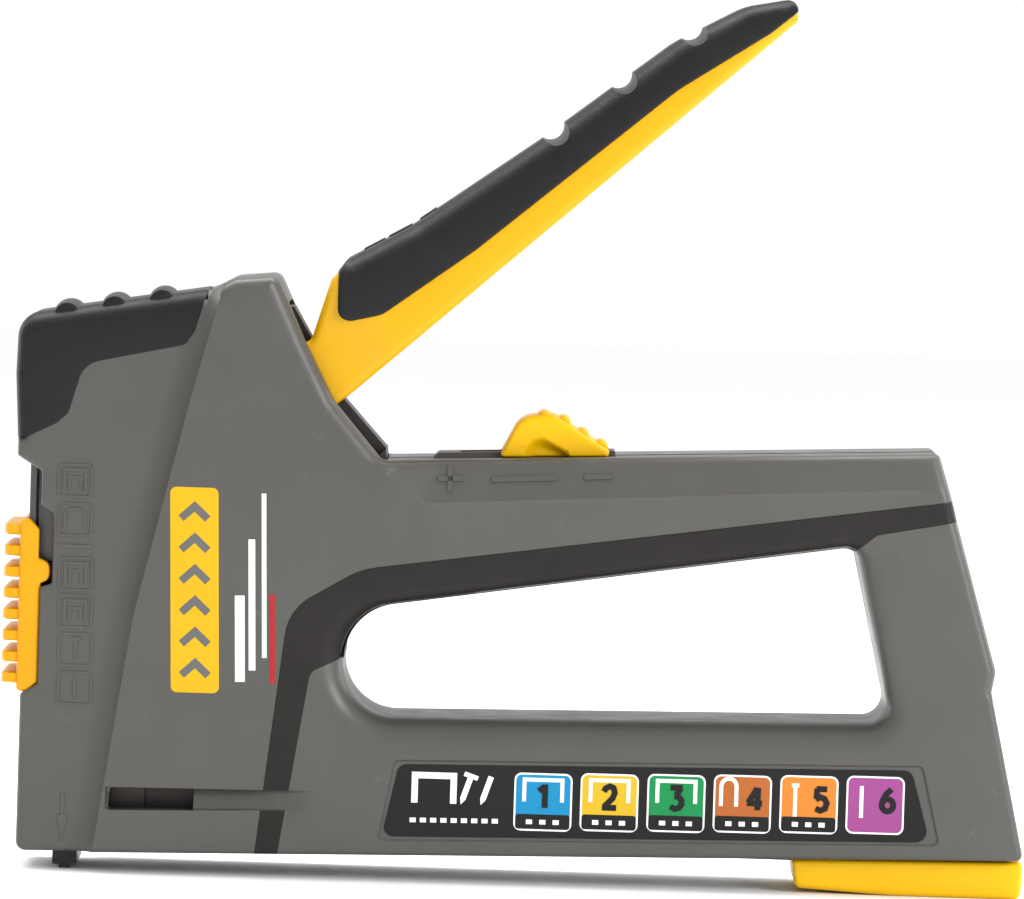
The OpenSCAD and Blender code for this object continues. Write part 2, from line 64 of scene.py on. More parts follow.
HOUSING = [
    (-9.4, 3.6, 1.8, 0.9), (187.2, 7.9, 1.2, 1.3), (179.9, 40.4, 2, 2), (180.6, 44.6, 2, 2),
    (172, 73.6, 2, 2), (171.2, 76.8, 1, 2), (168.2, 86.6, 1.2, 1.5), (66, 82.3, 3, 2),
    (60, 82, 3, 3), (50.2, 93.4, 12, 3), (44.3, 104.8, 12, 3), (38.4, 117.4, 2, 2.6),
    (30.3, 116.6, 3, 2.6), (26.6, 114.6, 1.5, 3), (25.1, 114.1, 0, 0.05), (25.1, 112.3, 0, 0.3),
    (22.6, 111.89, 0, 1.5), (20, 111.45, 0, 3.6), (-9.9, 106.5, 3.5, 1.8), (-9.9, 84.3, 0, 0.6),
    (-11.1, 84.3, 0.2, 1.3),
    (-11.1, 80.8, 0.8, 1), (-6.2, 77.8, 0.8, 0.6), (-6.2, 71.2, 0.6, 0.6),
    (-3.7, 69.6, 0.8, 0.6), (-3.7, 56, 0.8, 0.6), (-6, 55.2, 0.3, 0.6), (-6, 36.4, 0.6, 0.6),
    (-9.4, 34.2, 0.6, 1.4),
]
LOOP = [(53.5, 52.8, 11, 5.2), (53.5, 31.7, 10.5, 5.4), (160.6, 33.7, 4, 4.6), (152.6, 68.3, 3, 2.4)]
MAIN = [
    (4.4, -5, 0, 0), (12.5, 50.5, 60, 0), (22.5, 93.5, 40, 0), (29, 118, 0, 0), (29, 140, 0, 0),
    (250, 140, 0, 0), (250, -5, 0, 0),
]
STRIP = [
    (168.8, 77.2, 0.5, 0), (56.5, 60.9, 16, 0), (42.6, 52.6, 10, 0), (37.2, 3.4, 0, 0),
    (41.6, 3.4, 0, 0), (47.2, 40.6, 2.5, 0), (56, 44.6, 0, 0), (60, 54, 6, 0),
    (152.2, 67, 1, 0), (156.6, 70.6, 2, 0), (170.1, 73.2, 0.6, 0), (176, 74.6, 0, 0), (174, 78.3, 0, 0),
]
LABEL = [(65, 23.1, 1.8, 0.12), (62, 8.9, 1.8, 0.12), (168.8, 11, 2.2, 0.12), (164.8, 25, 2.2, 0.12)]
LABEL_RECESS = [(64, 24, 1.2, 0), (61, 7.9, 1.2, 0), (170.8, 10.3, 1.2, 0), (167, 26, 1.2, 0)]
GROOVE = [
    (8, 12.6, 0, 0), (25, 12.8, 0, 0), (50, 13.6, 0, 0), (50, 17.3, 0, 0), (25, 17.1, 0, 0),
    (8, 16.9, 0, 0),
]
CAP = [
    (25.2, 114.33, 0.4, 4), (-11.6, 108.2, 5, 2.6), (-11.9, 97, 12, 2.2),
    (-11.2, 84.3, 0.3, 0.3), (-9.2, 84.5, 0.3, 0.3), (-3.6, 87.3, 1.5, 0.3), (-1.4, 89.3, 1, 0.3),
    (1.4, 99, 5, 0.3), (20.9, 103.3, 1.6, 0.3), (22.8, 106, 0.8, 0.3),
]

# The handle is drawn in its own frame, from the pivot and along its underside.
PIVOT = np.array([31.0, 90.0])
HANDLE_TURN = math.radians(41.6)
SHELL = [
    (-4, -6, 3, 1), (8, -10.6, 6, 1.2), (20, -11.4, 0, 1.6), (133, -11.4, 1, 0.9), (135.2, -9, 1, 0.5),
    (127.6, -8.6, 8, 0.4), (106.7, -6.1, 30, 0.4), (56.4, -4.8, 30, 0.4), (35.5, -2.9, 5, 0.4),
    (27.7, 1.7, 2.6, 0.4), (33.8, 8.6, 0.5, 1.5), (31.2, 8.2, 1, 1.6), (20.6, 1.6, 2, 1.6), (10, 5.5, 4, 1.2),
    (-4, 6, 3, 1),
]
GRIP = [
    (27.3, 1.6, 2.2, 0.6), (28.9, -0.4, 2.4, 0.5), (34.4, -3.4, 6, 0.5), (56.4, -5.4, 30, 0.5),
    (106.7, -6.7, 30, 0.5), (127.6, -9.8, 8, 0.5), (134.4, -10, 0.8, 1), (135.4, -7.6, 2, 4),
    (127, -2.6, 12, 5), (112, 0.9, 20, 5.5), (80, 3, 60, 5.5), (49.7, 6.2, 30, 5), (36.1, 9.2, 1.5, 2),
    (33.4, 8.6, 0.5, 1),
]
SCOOPS = [(83.1, 3.9), (99.7, 3.1), (116.3, 1.5)]
GRIP_PADS = [(39.6, 44.1), (44.9, 50), (51.8, 55.7)]
CORE = [
    (30, -2, 1, 0), (30, -8, 0, 0), (131, -8, 1, 0), (127, -5.4, 6, 0), (112, -3.2, 12, 0),
    (80, -0.6, 30, 0), (49.7, 3.2, 20, 0), (36, 6.2, 1, 0),
]
CHANNEL = [
    (-12, -16, 0, 0), (129, -16, 0, 0), (129, -9.6, 1, 0), (112, -5.3, 6, 0), (80, -2.6, 20, 0),
    (49.7, 0.4, 10, 0), (34, 2.4, 2, 0), (21.6, -1.6, 1, 0), (18.6, 12, 0, 0), (-12, 12, 0, 0),
]
KNOB = [
    (82.5, 83.1, 0.6, 0.9), (86.5, 90.9, 4.5, 1.2), (92.6, 92, 4.5, 1), (104.2, 84.9, 0.6, 0.8),
    (103.9, 83.9, 0.3, 0.5),
]
KNOB_HOLLOW = [
    (86.4, 80, 0, 0), (87, 84.6, 1.5, 0), (88.5, 86.9, 1.2, 0), (91, 87.5, 1.2, 0), (96.2, 84.4, 2, 0),
    (99, 80, 0, 0),
]
FOOT = [
    (142.2, 6.6, 0.8, 0.8), (143, 1, 1.2, 1.1), (162, 0, 20, 1.1), (187, 0, 1.4, 1.1),
    (187.4, 7.3, 1, 0.8),
]
SLIDER = [
    (-10.2, 68.4, 0.8, 0.8), (-10.2, 34.8, 0.8, 0.8), (-8.4, 34.6, 0.6, 0.6), (-6, 36.6, 0.6, 0.6),
    (-6, 55.9, 0.3, 0.6), (-4.2, 56.6, 1.8, 0.6), (-4.2, 59.9, 1.8, 0.6), (-6.5, 60.8, 0.3, 0.6),
    (-6.5, 66.4, 0.6, 0.6), (-8.4, 68.4, 0.8, 0.6),
]

# Half widths of the body, of its narrower front column and of the pieces on it
HALF = 16.0
COLUMN = 13.0
CAP_HALF = 13.2
GRIP_HALF = 13.2
SHELL_HALF, NECK_HALF = 12.5, 11.0
CORE_HALF, CHANNEL_HALF = 11.2, 8.7
SLIDER_HALF = 12.3
KNOB_HALF = 7.5
FOOT_HALF = 12.5

# Relief of the housing's side face
CREASE_WIDTH = 4.3
BAND_SLOPE = 0.3
BAND_START, BAND_END = 60.5, 167.5
BAND_CREST = 0.14
CAP_SEAT = 0.8
LABEL_DEPTH = 0.45
GROOVE_FOOT, GROOVE_RISE = 0.5, 1.9
SEAM = 0.16


def unit(v):
    return v / np.linalg.norm(v)


def dense(corners, step=0.8):
    """A closed loop of points with round corners, and each point's edge radius."""
    n = len(corners)
    at = [np.array(c[:2], float) for c in corners]
    arcs = []
    for i in range(n):
        r = corners[i][2]
        a, b, c = at[i - 1], at[i], at[(i + 1) % n]
        if r <= 0:
            arcs.append([b])
            continue
        u, v = unit(a - b), unit(c - b)
        turn = math.acos(float(np.clip(u @ v, -1, 1)))
        centre = b + unit(u + v) * r / math.sin(turn / 2)
        start = b + u * r / math.tan(turn / 2) - centre
        first = math.atan2(start[1], start[0])
        sweep = -math.copysign(math.pi - turn, u[0] * v[1] - u[1] * v[0])
        parts = max(2, math.ceil(abs(sweep) * r / step), math.ceil(abs(sweep) / 0.3))
        angles = [first + sweep * k / parts for k in range(parts + 1)]
        arcs.append([centre + r * np.array([math.cos(t), math.sin(t)]) for t in angles])
    points, edge = [], []
    for i in range(n):
        before, after = corners[i - 1][3], corners[i][3]
        arc = arcs[i]
        for k, p in enumerate(arc):
            points.append(p)
            edge.append(before + (after - before) * (k / (len(arc) - 1) if len(arc) > 1 else 0.5))
        to = arcs[(i + 1) % n][0]
        parts = max(1, round(np.linalg.norm(to - arc[-1]) / step))
        for k in range(1, parts):
            points.append(arc[-1] + (to - arc[-1]) * k / parts)
            edge.append(after)
    return np.array(points), np.array(edge)


def nearest(points, loops):
    """Distance from each point to the closest loop, and the edge radius there."""
    a = np.vstack([p for p, _ in loops])
    b = np.vstack([np.roll(p, -1, 0) for p, _ in loops])
    ea = np.concatenate([e for _, e in loops])
    eb = np.concatenate([np.roll(e, -1) for _, e in loops])
    along = b - a
    size = np.maximum((along ** 2).sum(1), 1e-12)
    distance, edge = np.empty(len(points)), np.empty(len(points))
    for rows in np.array_split(np.arange(len(points)), max(1, len(points) // 400)):
        p = points[rows][:, None, :]
        t = np.clip(((p - a) * along).sum(2) / size, 0, 1)
        d = np.linalg.norm(p - (a + t[..., None] * along), axis=2)
        k = d.argmin(1)
        i = np.arange(len(rows))
        distance[rows] = d[i, k]
        edge[rows] = ea[k] + (eb[k] - ea[k]) * t[i, k]
    return distance, edge


def inside(points, loop):
    """True for each point within the closed loop."""
    x, z = points[:, 0][:, None], points[:, 1][:, None]
    a, b = loop, np.roll(loop, -1, 0)
    crosses = (a[:, 1] > z) != (b[:, 1] > z)
    rise = np.where(b[:, 1] == a[:, 1], 1e-12, b[:, 1] - a[:, 1])
    at = a[:, 0] + (z - a[:, 1]) / rise * (b[:, 0] - a[:, 0])
    return (crosses & (x < at)).sum(1) % 2 == 1


def depth_in(points, corners):
    """Signed distance into a shape, positive inside."""
    loop = dense(corners, 2.0)
    d, _ = nearest(points, [loop])
    return np.where(inside(points, loop[0]), d, -d)


def smooth(t):
    t = np.clip(t, 0, 1)
    return t * t * (3 - 2 * t)


def grown(loop, by):
    """The loop moved outwards by a distance (inwards where negative)."""
    p = loop
    tangent = np.roll(p, -1, 0) - np.roll(p, 1, 0)
    tangent /= np.maximum(np.linalg.norm(tangent, axis=1), 1e-9)[:, None]
    area = (p[:, 0] * np.roll(p[:, 1], -1) - np.roll(p[:, 0], -1) * p[:, 1]).sum()
    out = np.stack([tangent[:, 1], -tangent[:, 0]], 1) * math.copysign(1, area)
    return p + out * by


RINGS = (0.04, 0.14, 0.29, 0.48, 0.72, 1.0)


def triangles(loops, lines=(), rings=True, keep=None, fill=()):
    """Triangles that fill the first loop less the others, and follow the lines."""
    points, edges = [], []

    def add(path, closed):
        base = len(points)
        points.extend(path)
        last = len(path) if closed else len(path) - 1
        edges.extend((base + k, base + (k + 1) % len(path)) for k in range(last))

    for p, _ in loops:
        add(p, True)
    for path, closed in lines:
        add(path, closed)
    if rings:
        for k, (p, e) in enumerate(loops):
            for f in RINGS:
                q = grown(p, 1.0) - p
                q = p + q * (e * f * (-1 if k == 0 else 1))[:, None]
                d, _ = nearest(q, loops)
                points.extend(q[(d > f * e - 0.02) & (e * f > 0.03)])
    points.extend(fill)
    cdt = geometry.delaunay_2d_cdt([Vector(p) for p in points], edges, [], 0, 1e-4, False)
    at = np.array([tuple(v) for v in cdt[0]])
    tri = np.array([f for f in cdt[2] if len(f) == 3])
    middle = at[tri].mean(1)
    inner = inside(middle, loops[0][0])
    for p, _ in loops[1:]:
        inner &= ~inside(middle, p)
    if keep is not None:
        inner &= keep(middle)
    tri = tri[inner]
    a, b, c = at[tri[:, 0]], at[tri[:, 1]], at[tri[:, 2]]
    turn = (b[:, 0] - a[:, 0]) * (c[:, 1] - a[:, 1]) - (b[:, 1] - a[:, 1]) * (c[:, 0] - a[:, 0])
    tri = tri[np.abs(turn) > 1e-9]
    turn = turn[np.abs(turn) > 1e-9]
    tri[turn < 0] = tri[turn < 0][:, ::-1]
    used = np.unique(tri)
    renumber = -np.ones(len(at), int)
    renumber[used] = np.arange(len(used))
    return at[used], renumber[tri]


def rim_of(tri):
    """The edges that only one triangle has, in its direction."""
    edges = np.vstack([tri[:, [0, 1]], tri[:, [1, 2]], tri[:, [2, 0]]])
    key = np.sort(edges, 1)
    _, first, count = np.unique(key, axis=0, return_index=True, return_counts=True)
    return edges[first[count == 1]]


def piece(name, verts, faces, material, sharp=32):
    """A mesh object from points in mm."""
    mesh = bpy.data.meshes.new(name)
    points = [tuple(v) for v in np.asarray(verts, float) * MM]
    mesh.from_pydata(points, [], [tuple(int(i) for i in f) for f in faces])
    mesh.validate()
    obj = bpy.data.objects.new(name, mesh)
    bpy.context.scene.collection.objects.link(obj)
    finish_mesh(obj, sharp)
    if material:
        mesh.materials.append(material)
    return obj


def finish_mesh(obj, sharp=32):
    obj.data.shade_smooth()
    obj.data.set_sharp_from_angle(angle=math.radians(sharp))


def solid(front, back, tri):
    """Points and faces of a closed body between two sheets of the same triangles."""
    n = len(front)
    rim = rim_of(tri)
    walls = [(b, a, a + n, b + n) for a, b in rim]
    faces = [tuple(t) for t in tri] + [tuple(t[::-1] + n) for t in tri] + walls
    return np.vstack([front, back]), faces


def rounded_off(at, thick, loops):
    """The half thickness at each point, less the rounding of every rim near it."""
    a = np.vstack([p for p, _ in loops])
    along = np.vstack([np.roll(p, -1, 0) for p, _ in loops]) - a
    ea = np.concatenate([e for _, e in loops])
    eb = np.concatenate([np.roll(e, -1) for _, e in loops])
    size = np.maximum((along ** 2).sum(1), 1e-12)
    drop = np.empty(len(at))
    for rows in np.array_split(np.arange(len(at)), max(1, len(at) // 400)):
        p = at[rows][:, None, :]
        t = np.clip(((p - a) * along).sum(2) / size, 0, 1)
        d = np.linalg.norm(p - (a + t[..., None] * along), axis=2)
        e = ea + (eb - ea) * t
        fall = e - np.sqrt(np.maximum(e * e - (e - np.minimum(d, e)) ** 2, 0))
        drop[rows] = np.where(d < e, fall, 0).max(1)
    return thick - drop


def loft(name, rings, material=None):
    """A closed body through rings of points."""
    n = len(rings[0])
    faces = [(i * n + k, i * n + (k + 1) % n, (i + 1) * n + (k + 1) % n, (i + 1) * n + k)
             for i in range(len(rings) - 1) for k in range(n)]
    faces += [tuple(range(n))[::-1], tuple(range((len(rings) - 1) * n, len(rings) * n))]
    obj = piece(name, np.vstack(rings), faces, material)
    mesh = bmesh.new()
    mesh.from_mesh(obj.data)
    bmesh.ops.recalc_face_normals(mesh, faces=mesh.faces)
    mesh.to_mesh(obj.data)
    mesh.free()
    finish_mesh(obj, 50)
    return obj


def pillow(name, shapes, thick, material, full=True, lines=(), step=0.8, turn=None, fill=()):
    """A body with round rims: the first shape less the others, as thick as the function says."""
    loops = [dense(s, step) for s in shapes]
    if len(fill):
        gap, edge = nearest(fill, loops)
        fill = fill[(gap > edge + 0.3) & inside(fill, loops[0][0])]
    at, tri = triangles(loops, lines, fill=fill)
    height = thick(at) if callable(thick) else np.full(len(at), float(thick))
    height = rounded_off(at, height, loops)
    front = np.stack([at[:, 0], -height, at[:, 1]], 1)
    if full:
        back = front * [1, -1, 1]
    else:
        back = np.stack([at[:, 0], np.zeros(len(at)), at[:, 1]], 1)
        for k, (p, _) in enumerate(loops):
            shrunk = grown(p, -SEAM if k == 0 else SEAM)
            for point, to in zip(p, shrunk):
                near = np.flatnonzero(np.abs(at - point).sum(1) < 1e-4)
                back[near, 0], back[near, 2] = to
    verts, faces = solid(front, back, tri)
    if turn is not None:
        verts = turn(verts)
    return piece(name, verts, faces, material)


def on_handle(verts):
    """Moves points from the handle's own frame to their place at rest."""
    c, s = math.cos(HANDLE_TURN), math.sin(HANDLE_TURN)
    u, v = verts[:, 0].copy(), verts[:, 2].copy()
    return np.stack([PIVOT[0] + u * c - v * s, verts[:, 1], PIVOT[1] + u * s + v * c], 1)


def sheet(at, y):
    """Points of the XZ plane as a flat sheet at the given Y."""
    return np.stack([at[:, 0], np.full(len(at), float(y)), at[:, 1]], 1)


def prism(shapes, y0, y1, turn=None, step=3.0):
    """A straight body: the first shape less the others, from y0 to y1."""
    loops = [dense(s, step) for s in shapes]
    at, tri = triangles(loops, rings=False)
    verts, faces = solid(sheet(at, y0), sheet(at, y1), tri)
    if turn is not None:
        verts = turn(verts)
    return piece("cutter", verts, faces, None)


def lathe(profile, start, axis, name="cutter", material=None, sides=32, sharp=32):
    """A closed turned body. The profile is (distance along, radius), from axis to axis."""
    axis = unit(np.array(axis, float))
    side = unit(np.cross(axis, [0.3, 0.2, 1] if abs(axis[2]) < 0.9 else [1, 0, 0]))
    up = np.cross(axis, side)
    verts, rows = [], []
    for h, r in profile:
        base = np.array(start, float) + axis * h
        if r < 1e-6:
            rows.append([len(verts)] * sides)
            verts.append(base)
            continue
        rows.append(list(range(len(verts), len(verts) + sides)))
        for k in range(sides):
            t = math.tau * k / sides
            verts.append(base + r * (math.cos(t) * side + math.sin(t) * up))
    faces = []
    for low, high in zip(rows, rows[1:]):
        for k in range(sides):
            ring = [low[k], low[(k + 1) % sides], high[(k + 1) % sides], high[k]]
            face = [v for i, v in enumerate(ring) if v not in ring[:i]]
            if len(face) > 2:
                faces.append(face)
    return piece(name, verts, faces, material, sharp)


def rod(at, r, y0, y1):
    """A round cutter along Y."""
    profile = [(0, 0), (0, r), (y1 - y0, r), (y1 - y0, 0)]
    return lathe(profile, (at[0], y0, at[1]), (0, 1, 0), sides=48)


def box(x, y, z):
    """A square cutter."""
    corners = [(x[0], z[0], 0, 0), (x[1], z[0], 0, 0), (x[1], z[1], 0, 0), (x[0], z[1], 0, 0)]
    return prism([corners], y[0], y[1])


def boolean(obj, other, operation="DIFFERENCE", sharp=32):
    """Cuts or joins another body, which is used up."""
    mod = obj.modifiers.new("shape", "BOOLEAN")
    mod.operation, mod.object, mod.solver = operation, other, "MANIFOLD"
    graph = bpy.context.evaluated_depsgraph_get()
    mesh = bpy.data.meshes.new_from_object(obj.evaluated_get(graph))
    obj.modifiers.clear()
    obj.data = mesh
    bpy.data.objects.remove(other)
    finish_mesh(obj, sharp)


def mirrored(obj, name):
    """A copy of a piece on the other side of the tool."""
    mesh = obj.data.copy()
    mesh.transform(Matrix.Scale(-1, 4, (0, 1, 0)))
    mesh.flip_normals()
    copy = bpy.data.objects.new(name, mesh)
    bpy.context.scene.collection.objects.link(copy)
    return copy


def merged(name, parts, material):
    """One piece from several."""
    verts, faces = [], []
    for part in parts:
        base = len(verts)
        verts.extend(np.array(v.co) / MM for v in part.data.vertices)
        faces.extend([base + i for i in f.vertices] for f in part.data.polygons)
        bpy.data.objects.remove(part)
    return piece(name, verts, faces, material)


# ---------------------------------------------------------------- materials

ROUGH_SPREAD = 0.06


def finish(name, color, rough, metal=0.0, grain=0.3, grain_mm=0.5, mottle=0.06, scuff=0.0,
           brushed=None, spec=0.5):
    """A procedural finish: fine surface grain, slow colour drift and light scuffs."""
    mat = bpy.data.materials.new(name)
    mat.use_nodes = True
    nodes, links = mat.node_tree.nodes, mat.node_tree.links
    shader = nodes["Principled BSDF"]
    shader.inputs["Metallic"].default_value = metal
    shader.inputs["Specular IOR Level"].default_value = spec
    place = nodes.new("ShaderNodeTexCoord").outputs["Object"]
    if brushed:
        stretch = nodes.new("ShaderNodeMapping")
        stretch.inputs["Scale"].default_value = brushed
        links.new(place, stretch.inputs["Vector"])
        place = stretch.outputs["Vector"]

    def noise(size_mm, detail, roughness=0.5):
        node = nodes.new("ShaderNodeTexNoise")
        node.inputs["Scale"].default_value = 1 / (size_mm * MM)
        node.inputs["Detail"].default_value = detail
        node.inputs["Roughness"].default_value = roughness
        links.new(place, node.inputs["Vector"])
        return node.outputs["Fac"]

    def spread(value, low, high):
        node = nodes.new("ShaderNodeMapRange")
        node.inputs["From Min"].default_value = 0.3
        node.inputs["From Max"].default_value = 0.7
        node.inputs["To Min"].default_value = low
        node.inputs["To Max"].default_value = high
        links.new(value, node.inputs["Value"])
        return node.outputs["Result"]

    ramp = nodes.new("ShaderNodeValToRGB")
    for stop, factor, at in zip(ramp.color_ramp.elements, (1 - mottle, 1 + mottle), (0.3, 0.7)):
        stop.position = at
        stop.color = (*[min(1, c * factor) for c in color], 1)
    links.new(noise(14, 4), ramp.inputs["Fac"])
    out = ramp.outputs["Color"]
    if scuff:
        marks = nodes.new("ShaderNodeMapRange")
        marks.inputs["From Min"].default_value = 0.66
        marks.inputs["From Max"].default_value = 0.8
        links.new(noise(3.5, 9, 0.65), marks.inputs["Value"])
        mix = nodes.new("ShaderNodeMix")
        mix.data_type = "RGBA"
        mix.inputs["B"].default_value = (*[min(1, c * 1.35 + scuff * 0.12) for c in color], 1)
        links.new(marks.outputs["Result"], mix.inputs["Factor"])
        links.new(out, mix.inputs["A"])
        out = mix.outputs["Result"]
    links.new(out, shader.inputs["Base Color"])
    links.new(spread(noise(6, 5), rough - ROUGH_SPREAD, rough + ROUGH_SPREAD), shader.inputs["Roughness"])
    bump = nodes.new("ShaderNodeBump")
    bump.inputs["Strength"].default_value = grain
    bump.inputs["Distance"].default_value = 0.12 * MM
    links.new(noise(grain_mm, 3, 0.6), bump.inputs["Height"])
    links.new(bump.outputs["Normal"], shader.inputs["Normal"])
    return mat


PAINT = finish("cast_grey_paint", (0.0585, 0.0558, 0.0512), 0.4, grain=0.2, grain_mm=0.45, mottle=0.04,
               scuff=0.15, spec=0.4)
SOFT = finish("soft_black", (0.0065, 0.006, 0.007), 0.42, grain=0.5, grain_mm=0.3, mottle=0.1,
              scuff=0.08, spec=0.22)
STRIPE = finish("strip_black", (0.008, 0.0065, 0.0056), 0.55, grain=0.4, grain_mm=0.4, mottle=0.12,
                scuff=0.15, spec=0.25)
YELLOW = finish("yellow_paint", (0.56, 0.3, 0.0), 0.34, grain=0.08, grain_mm=0.6, mottle=0.02, spec=0.25)
YELLOW_PLASTIC = finish("yellow_plastic", (0.59, 0.265, 0.0), 0.34, grain=0.1, grain_mm=0.5,
                        mottle=0.02, spec=0.2)
FOOT_YELLOW = finish("foot_yellow", (0.68, 0.385, 0.0), 0.38, grain=0.1, grain_mm=0.5, mottle=0.02, spec=0.2)
DARK = finish("dark_plastic", (0.02, 0.017, 0.016), 0.45, grain=0.25, grain_mm=0.4, mottle=0.1, spec=0.3)
STEEL = finish("dark_steel", (0.09, 0.088, 0.088), 0.36, metal=1.0, grain=0.15, grain_mm=0.8, mottle=0.15,
               brushed=(1, 1, 0.12))
BRIGHT = finish("bright_steel", (0.42, 0.41, 0.4), 0.3, metal=1.0, grain=0.15, grain_mm=0.8, mottle=0.1,
                brushed=(0.15, 1, 1))
BLUED = finish("spring_steel", (0.1, 0.11, 0.14), 0.32, metal=1.0, grain=0.1, grain_mm=0.5, mottle=0.15)
# Steel for the magazine's rail, channel and pusher, darker than the steel's own tone: painted shade for the
# recess behind the side window, where these parts are seen.
SHADE_DARKENED_STEEL = finish("shade_darkened_steel", (0.055, 0.05, 0.047), 0.42, metal=1.0, grain=0.2, grain_mm=0.6, mottle=0.2,
                    brushed=(0.15, 1, 1))
SCREW = finish("screw_steel", (0.07, 0.068, 0.066), 0.35, metal=1.0, grain=0.2, grain_mm=0.3, mottle=0.1)
OILED = finish("oiled_steel", (0.016, 0.015, 0.015), 0.4, metal=0.3, grain=0.2, grain_mm=0.5,
               mottle=0.15, spec=0.3)
RAIL_GREY = finish("rail_grey", (0.055, 0.048, 0.045), 0.45, grain=0.25, grain_mm=0.4, mottle=0.1,
                   spec=0.35)
FILM = finish("label_black", (0.006, 0.0055, 0.0055), 0.38, spec=0.2, grain=0.04, grain_mm=0.8, mottle=0.08)


def print_ink(name, color):
    return finish(name, color, 0.4, grain=0.03, grain_mm=0.8, mottle=0.02, spec=0.25)


WHITE_INK = print_ink("ink_white", (0.72, 0.72, 0.7))
GREY_INK = print_ink("ink_grey", (0.1, 0.1, 0.095))
RED_INK = print_ink("ink_red", (0.3, 0.012, 0.015))
BADGE_INK = print_ink("ink_badge", (0.54, 0.315, 0.0))
CHIP_INKS = [print_ink("ink_chip%d" % i, c) for i, c in enumerate([
    (0.0, 0.19, 0.38), (0.52, 0.34, 0.01), (0.0, 0.19, 0.05), (0.33, 0.09, 0.015), (0.52, 0.165, 0.017),
    (0.24, 0.045, 0.19)])]

# ---------------------------------------------------------------- housing


def housing_thickness(at):
    """Half thickness of the housing before its rims: column, crease, sloping band and recesses."""
    s = depth_in(at, MAIN)
    t = COLUMN + (HALF - COLUMN) * np.where(s >= 0, 1, np.clip(1 + s / CREASE_WIDTH, 0, 1) ** 2)
    x, z = at[:, 0], at[:, 1]
    above = ((z - 74) - 0.05714 * (x - 67)) / 1.0016
    beside = (x - 67.9) * 0.492 + (z - 75) * 0.870
    band = np.minimum(above, beside)
    t = t - BAND_SLOPE * np.clip(np.minimum(band, x - BAND_START), 0, None)
    crest = np.exp(-(band / 0.4) ** 2) * smooth((x - BAND_START - 0.5) / 4)
    t = t + BAND_CREST * crest * smooth((BAND_END - x) / 3)
    t = t - LABEL_DEPTH * smooth(depth_in(at, LABEL_RECESS) / 0.4)
    t = t - CAP_SEAT * smooth((depth_in(at, CAP) - 0.05) / 0.25)
    fade = smooth((51 - x) / 20)
    rise = np.clip((z - 12.8 - 0.03 * (x - 25)) / 4.2, 0, 1)
    return t - (GROOVE_FOOT + GROOVE_RISE * rise) * fade * smooth(depth_in(at, GROOVE) / 0.3)


HOUSING_LOOPS = [dense(HOUSING), dense(LOOP)]
WALL_INSIDE = 10.7


def housing_surface(at):
    return rounded_off(at, housing_thickness(at), HOUSING_LOOPS)


def crease_lines():
    """Lines for the mesh to follow where the housing's face bends."""
    main = dense(MAIN, 1.0)[0]
    lines = []
    for by in (0, 0.5, 1.2, 2.1, 3.2, 4.2, 5.2):
        path = grown(main, by)
        path = path[(path[:, 0] < 31) & (path[:, 1] > 1) & (path[:, 1] < 119)]
        order = np.argsort(path[:, 1])
        lines.append((path[order], False))
    for up in (-0.8, -0.4, 0, 0.4, 0.8):
        bend = [[61.0 + 0.5 * k, 78.9 + up - 0.283 * k] for k in range(14)]
        along = [[68.2 + k, 74.05 + up + 0.05714 * (1.2 + k)] for k in range(0, 100, 2)]
        lines += [(np.array(bend), False), (np.array(along), False)]
    for shape, width in ((LABEL_RECESS, 0.4), (GROOVE, 0.3), (CAP, 0.3)):
        ring = dense(shape, 1.5)[0]
        for by in (0, -width / 2, -width) if shape is not CAP else (-0.05, -0.3):
            lines.append((grown(ring, by), True))
    return lines


def cavity_cutters():
    """Bodies that hollow out the left housing half, one for each room in it."""
    inner = [
        (-3, 6.2, 0, 0), (184.4, 10.4, 0, 0), (168.8, 75, 0, 0), (165.6, 83.6, 0, 0), (67, 79.4, 0, 0),
        (58.6, 79.4, 0, 0), (47.6, 92, 6, 0), (41.6, 104, 6, 0), (36.6, 114.6, 0, 0), (28, 112, 0, 0),
        (22, 109, 0, 0), (-3, 104.8, 0, 0),
    ]
    around = [(51, 55, 12, 0), (51, 29.3, 12, 0), (163.4, 31.3, 5, 0), (154.8, 71.2, 4, 0)]
    yield prism([inner, around], -WALL_INSIDE, 1)
    # Swing of the handle's neck
    yield prism([[(35, 111.4, 0, 0), (36, 79, 0, 0), (60.9, 79, 0, 0), (60.9, 83.6, 0, 0), (70, 83.6, 0, 0),
                  (47, 113, 0, 0)]], -11.6, 1)
    # Magazine and its end block, then the nose
    yield box((1, 190), (-8.7, 1), (-1, 10.6))
    yield box((181, 190), (-8.7, 1), (0, 21.3))
    yield box((-3.8, 3), (-8.3, 1), (-1, 8))
    # Front plate, then the plunger's travel
    yield box((-8.7, 8), (-9.6, 1), (31.4, 81.6))
    yield box((-7.4, 8), (-9.2, 1), (80, 102.8))
    # Slot of the power knob's rail, then the side window
    yield prism([[(69.7, 78, 0, 0), (105.4, 79.6, 0, 0), (105.4, 90, 0, 0), (69.7, 90, 0, 0)]], -5.1, 1)
    yield prism([[(8.4, 12.4, 0.6, 0), (25.2, 12.8, 0, 0), (25.2, 17, 0, 0), (8.9, 16.9, 0.6, 0)]], -17, -2)


housing_left = pillow("housing_left", [HOUSING, LOOP], housing_thickness, PAINT, full=False,
                      lines=crease_lines())
for cutter in cavity_cutters():
    boolean(housing_left, cutter)
housing_right = mirrored(housing_left, "housing_right")
SCREWS = [(14, 34), (34, 58), (30, 107), (160, 79.4), (173, 30), (105, 26)]
COUNTERBORE, SCREW_SEAT = 3.3, 13.4
for spot in SCREWS:
    boolean(housing_right, rod(spot, COUNTERBORE, SCREW_SEAT, HALF + 4))
for side, obj in (("left", housing_left), ("right", housing_right)):
    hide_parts(side + "_housing")
    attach(obj, "body")

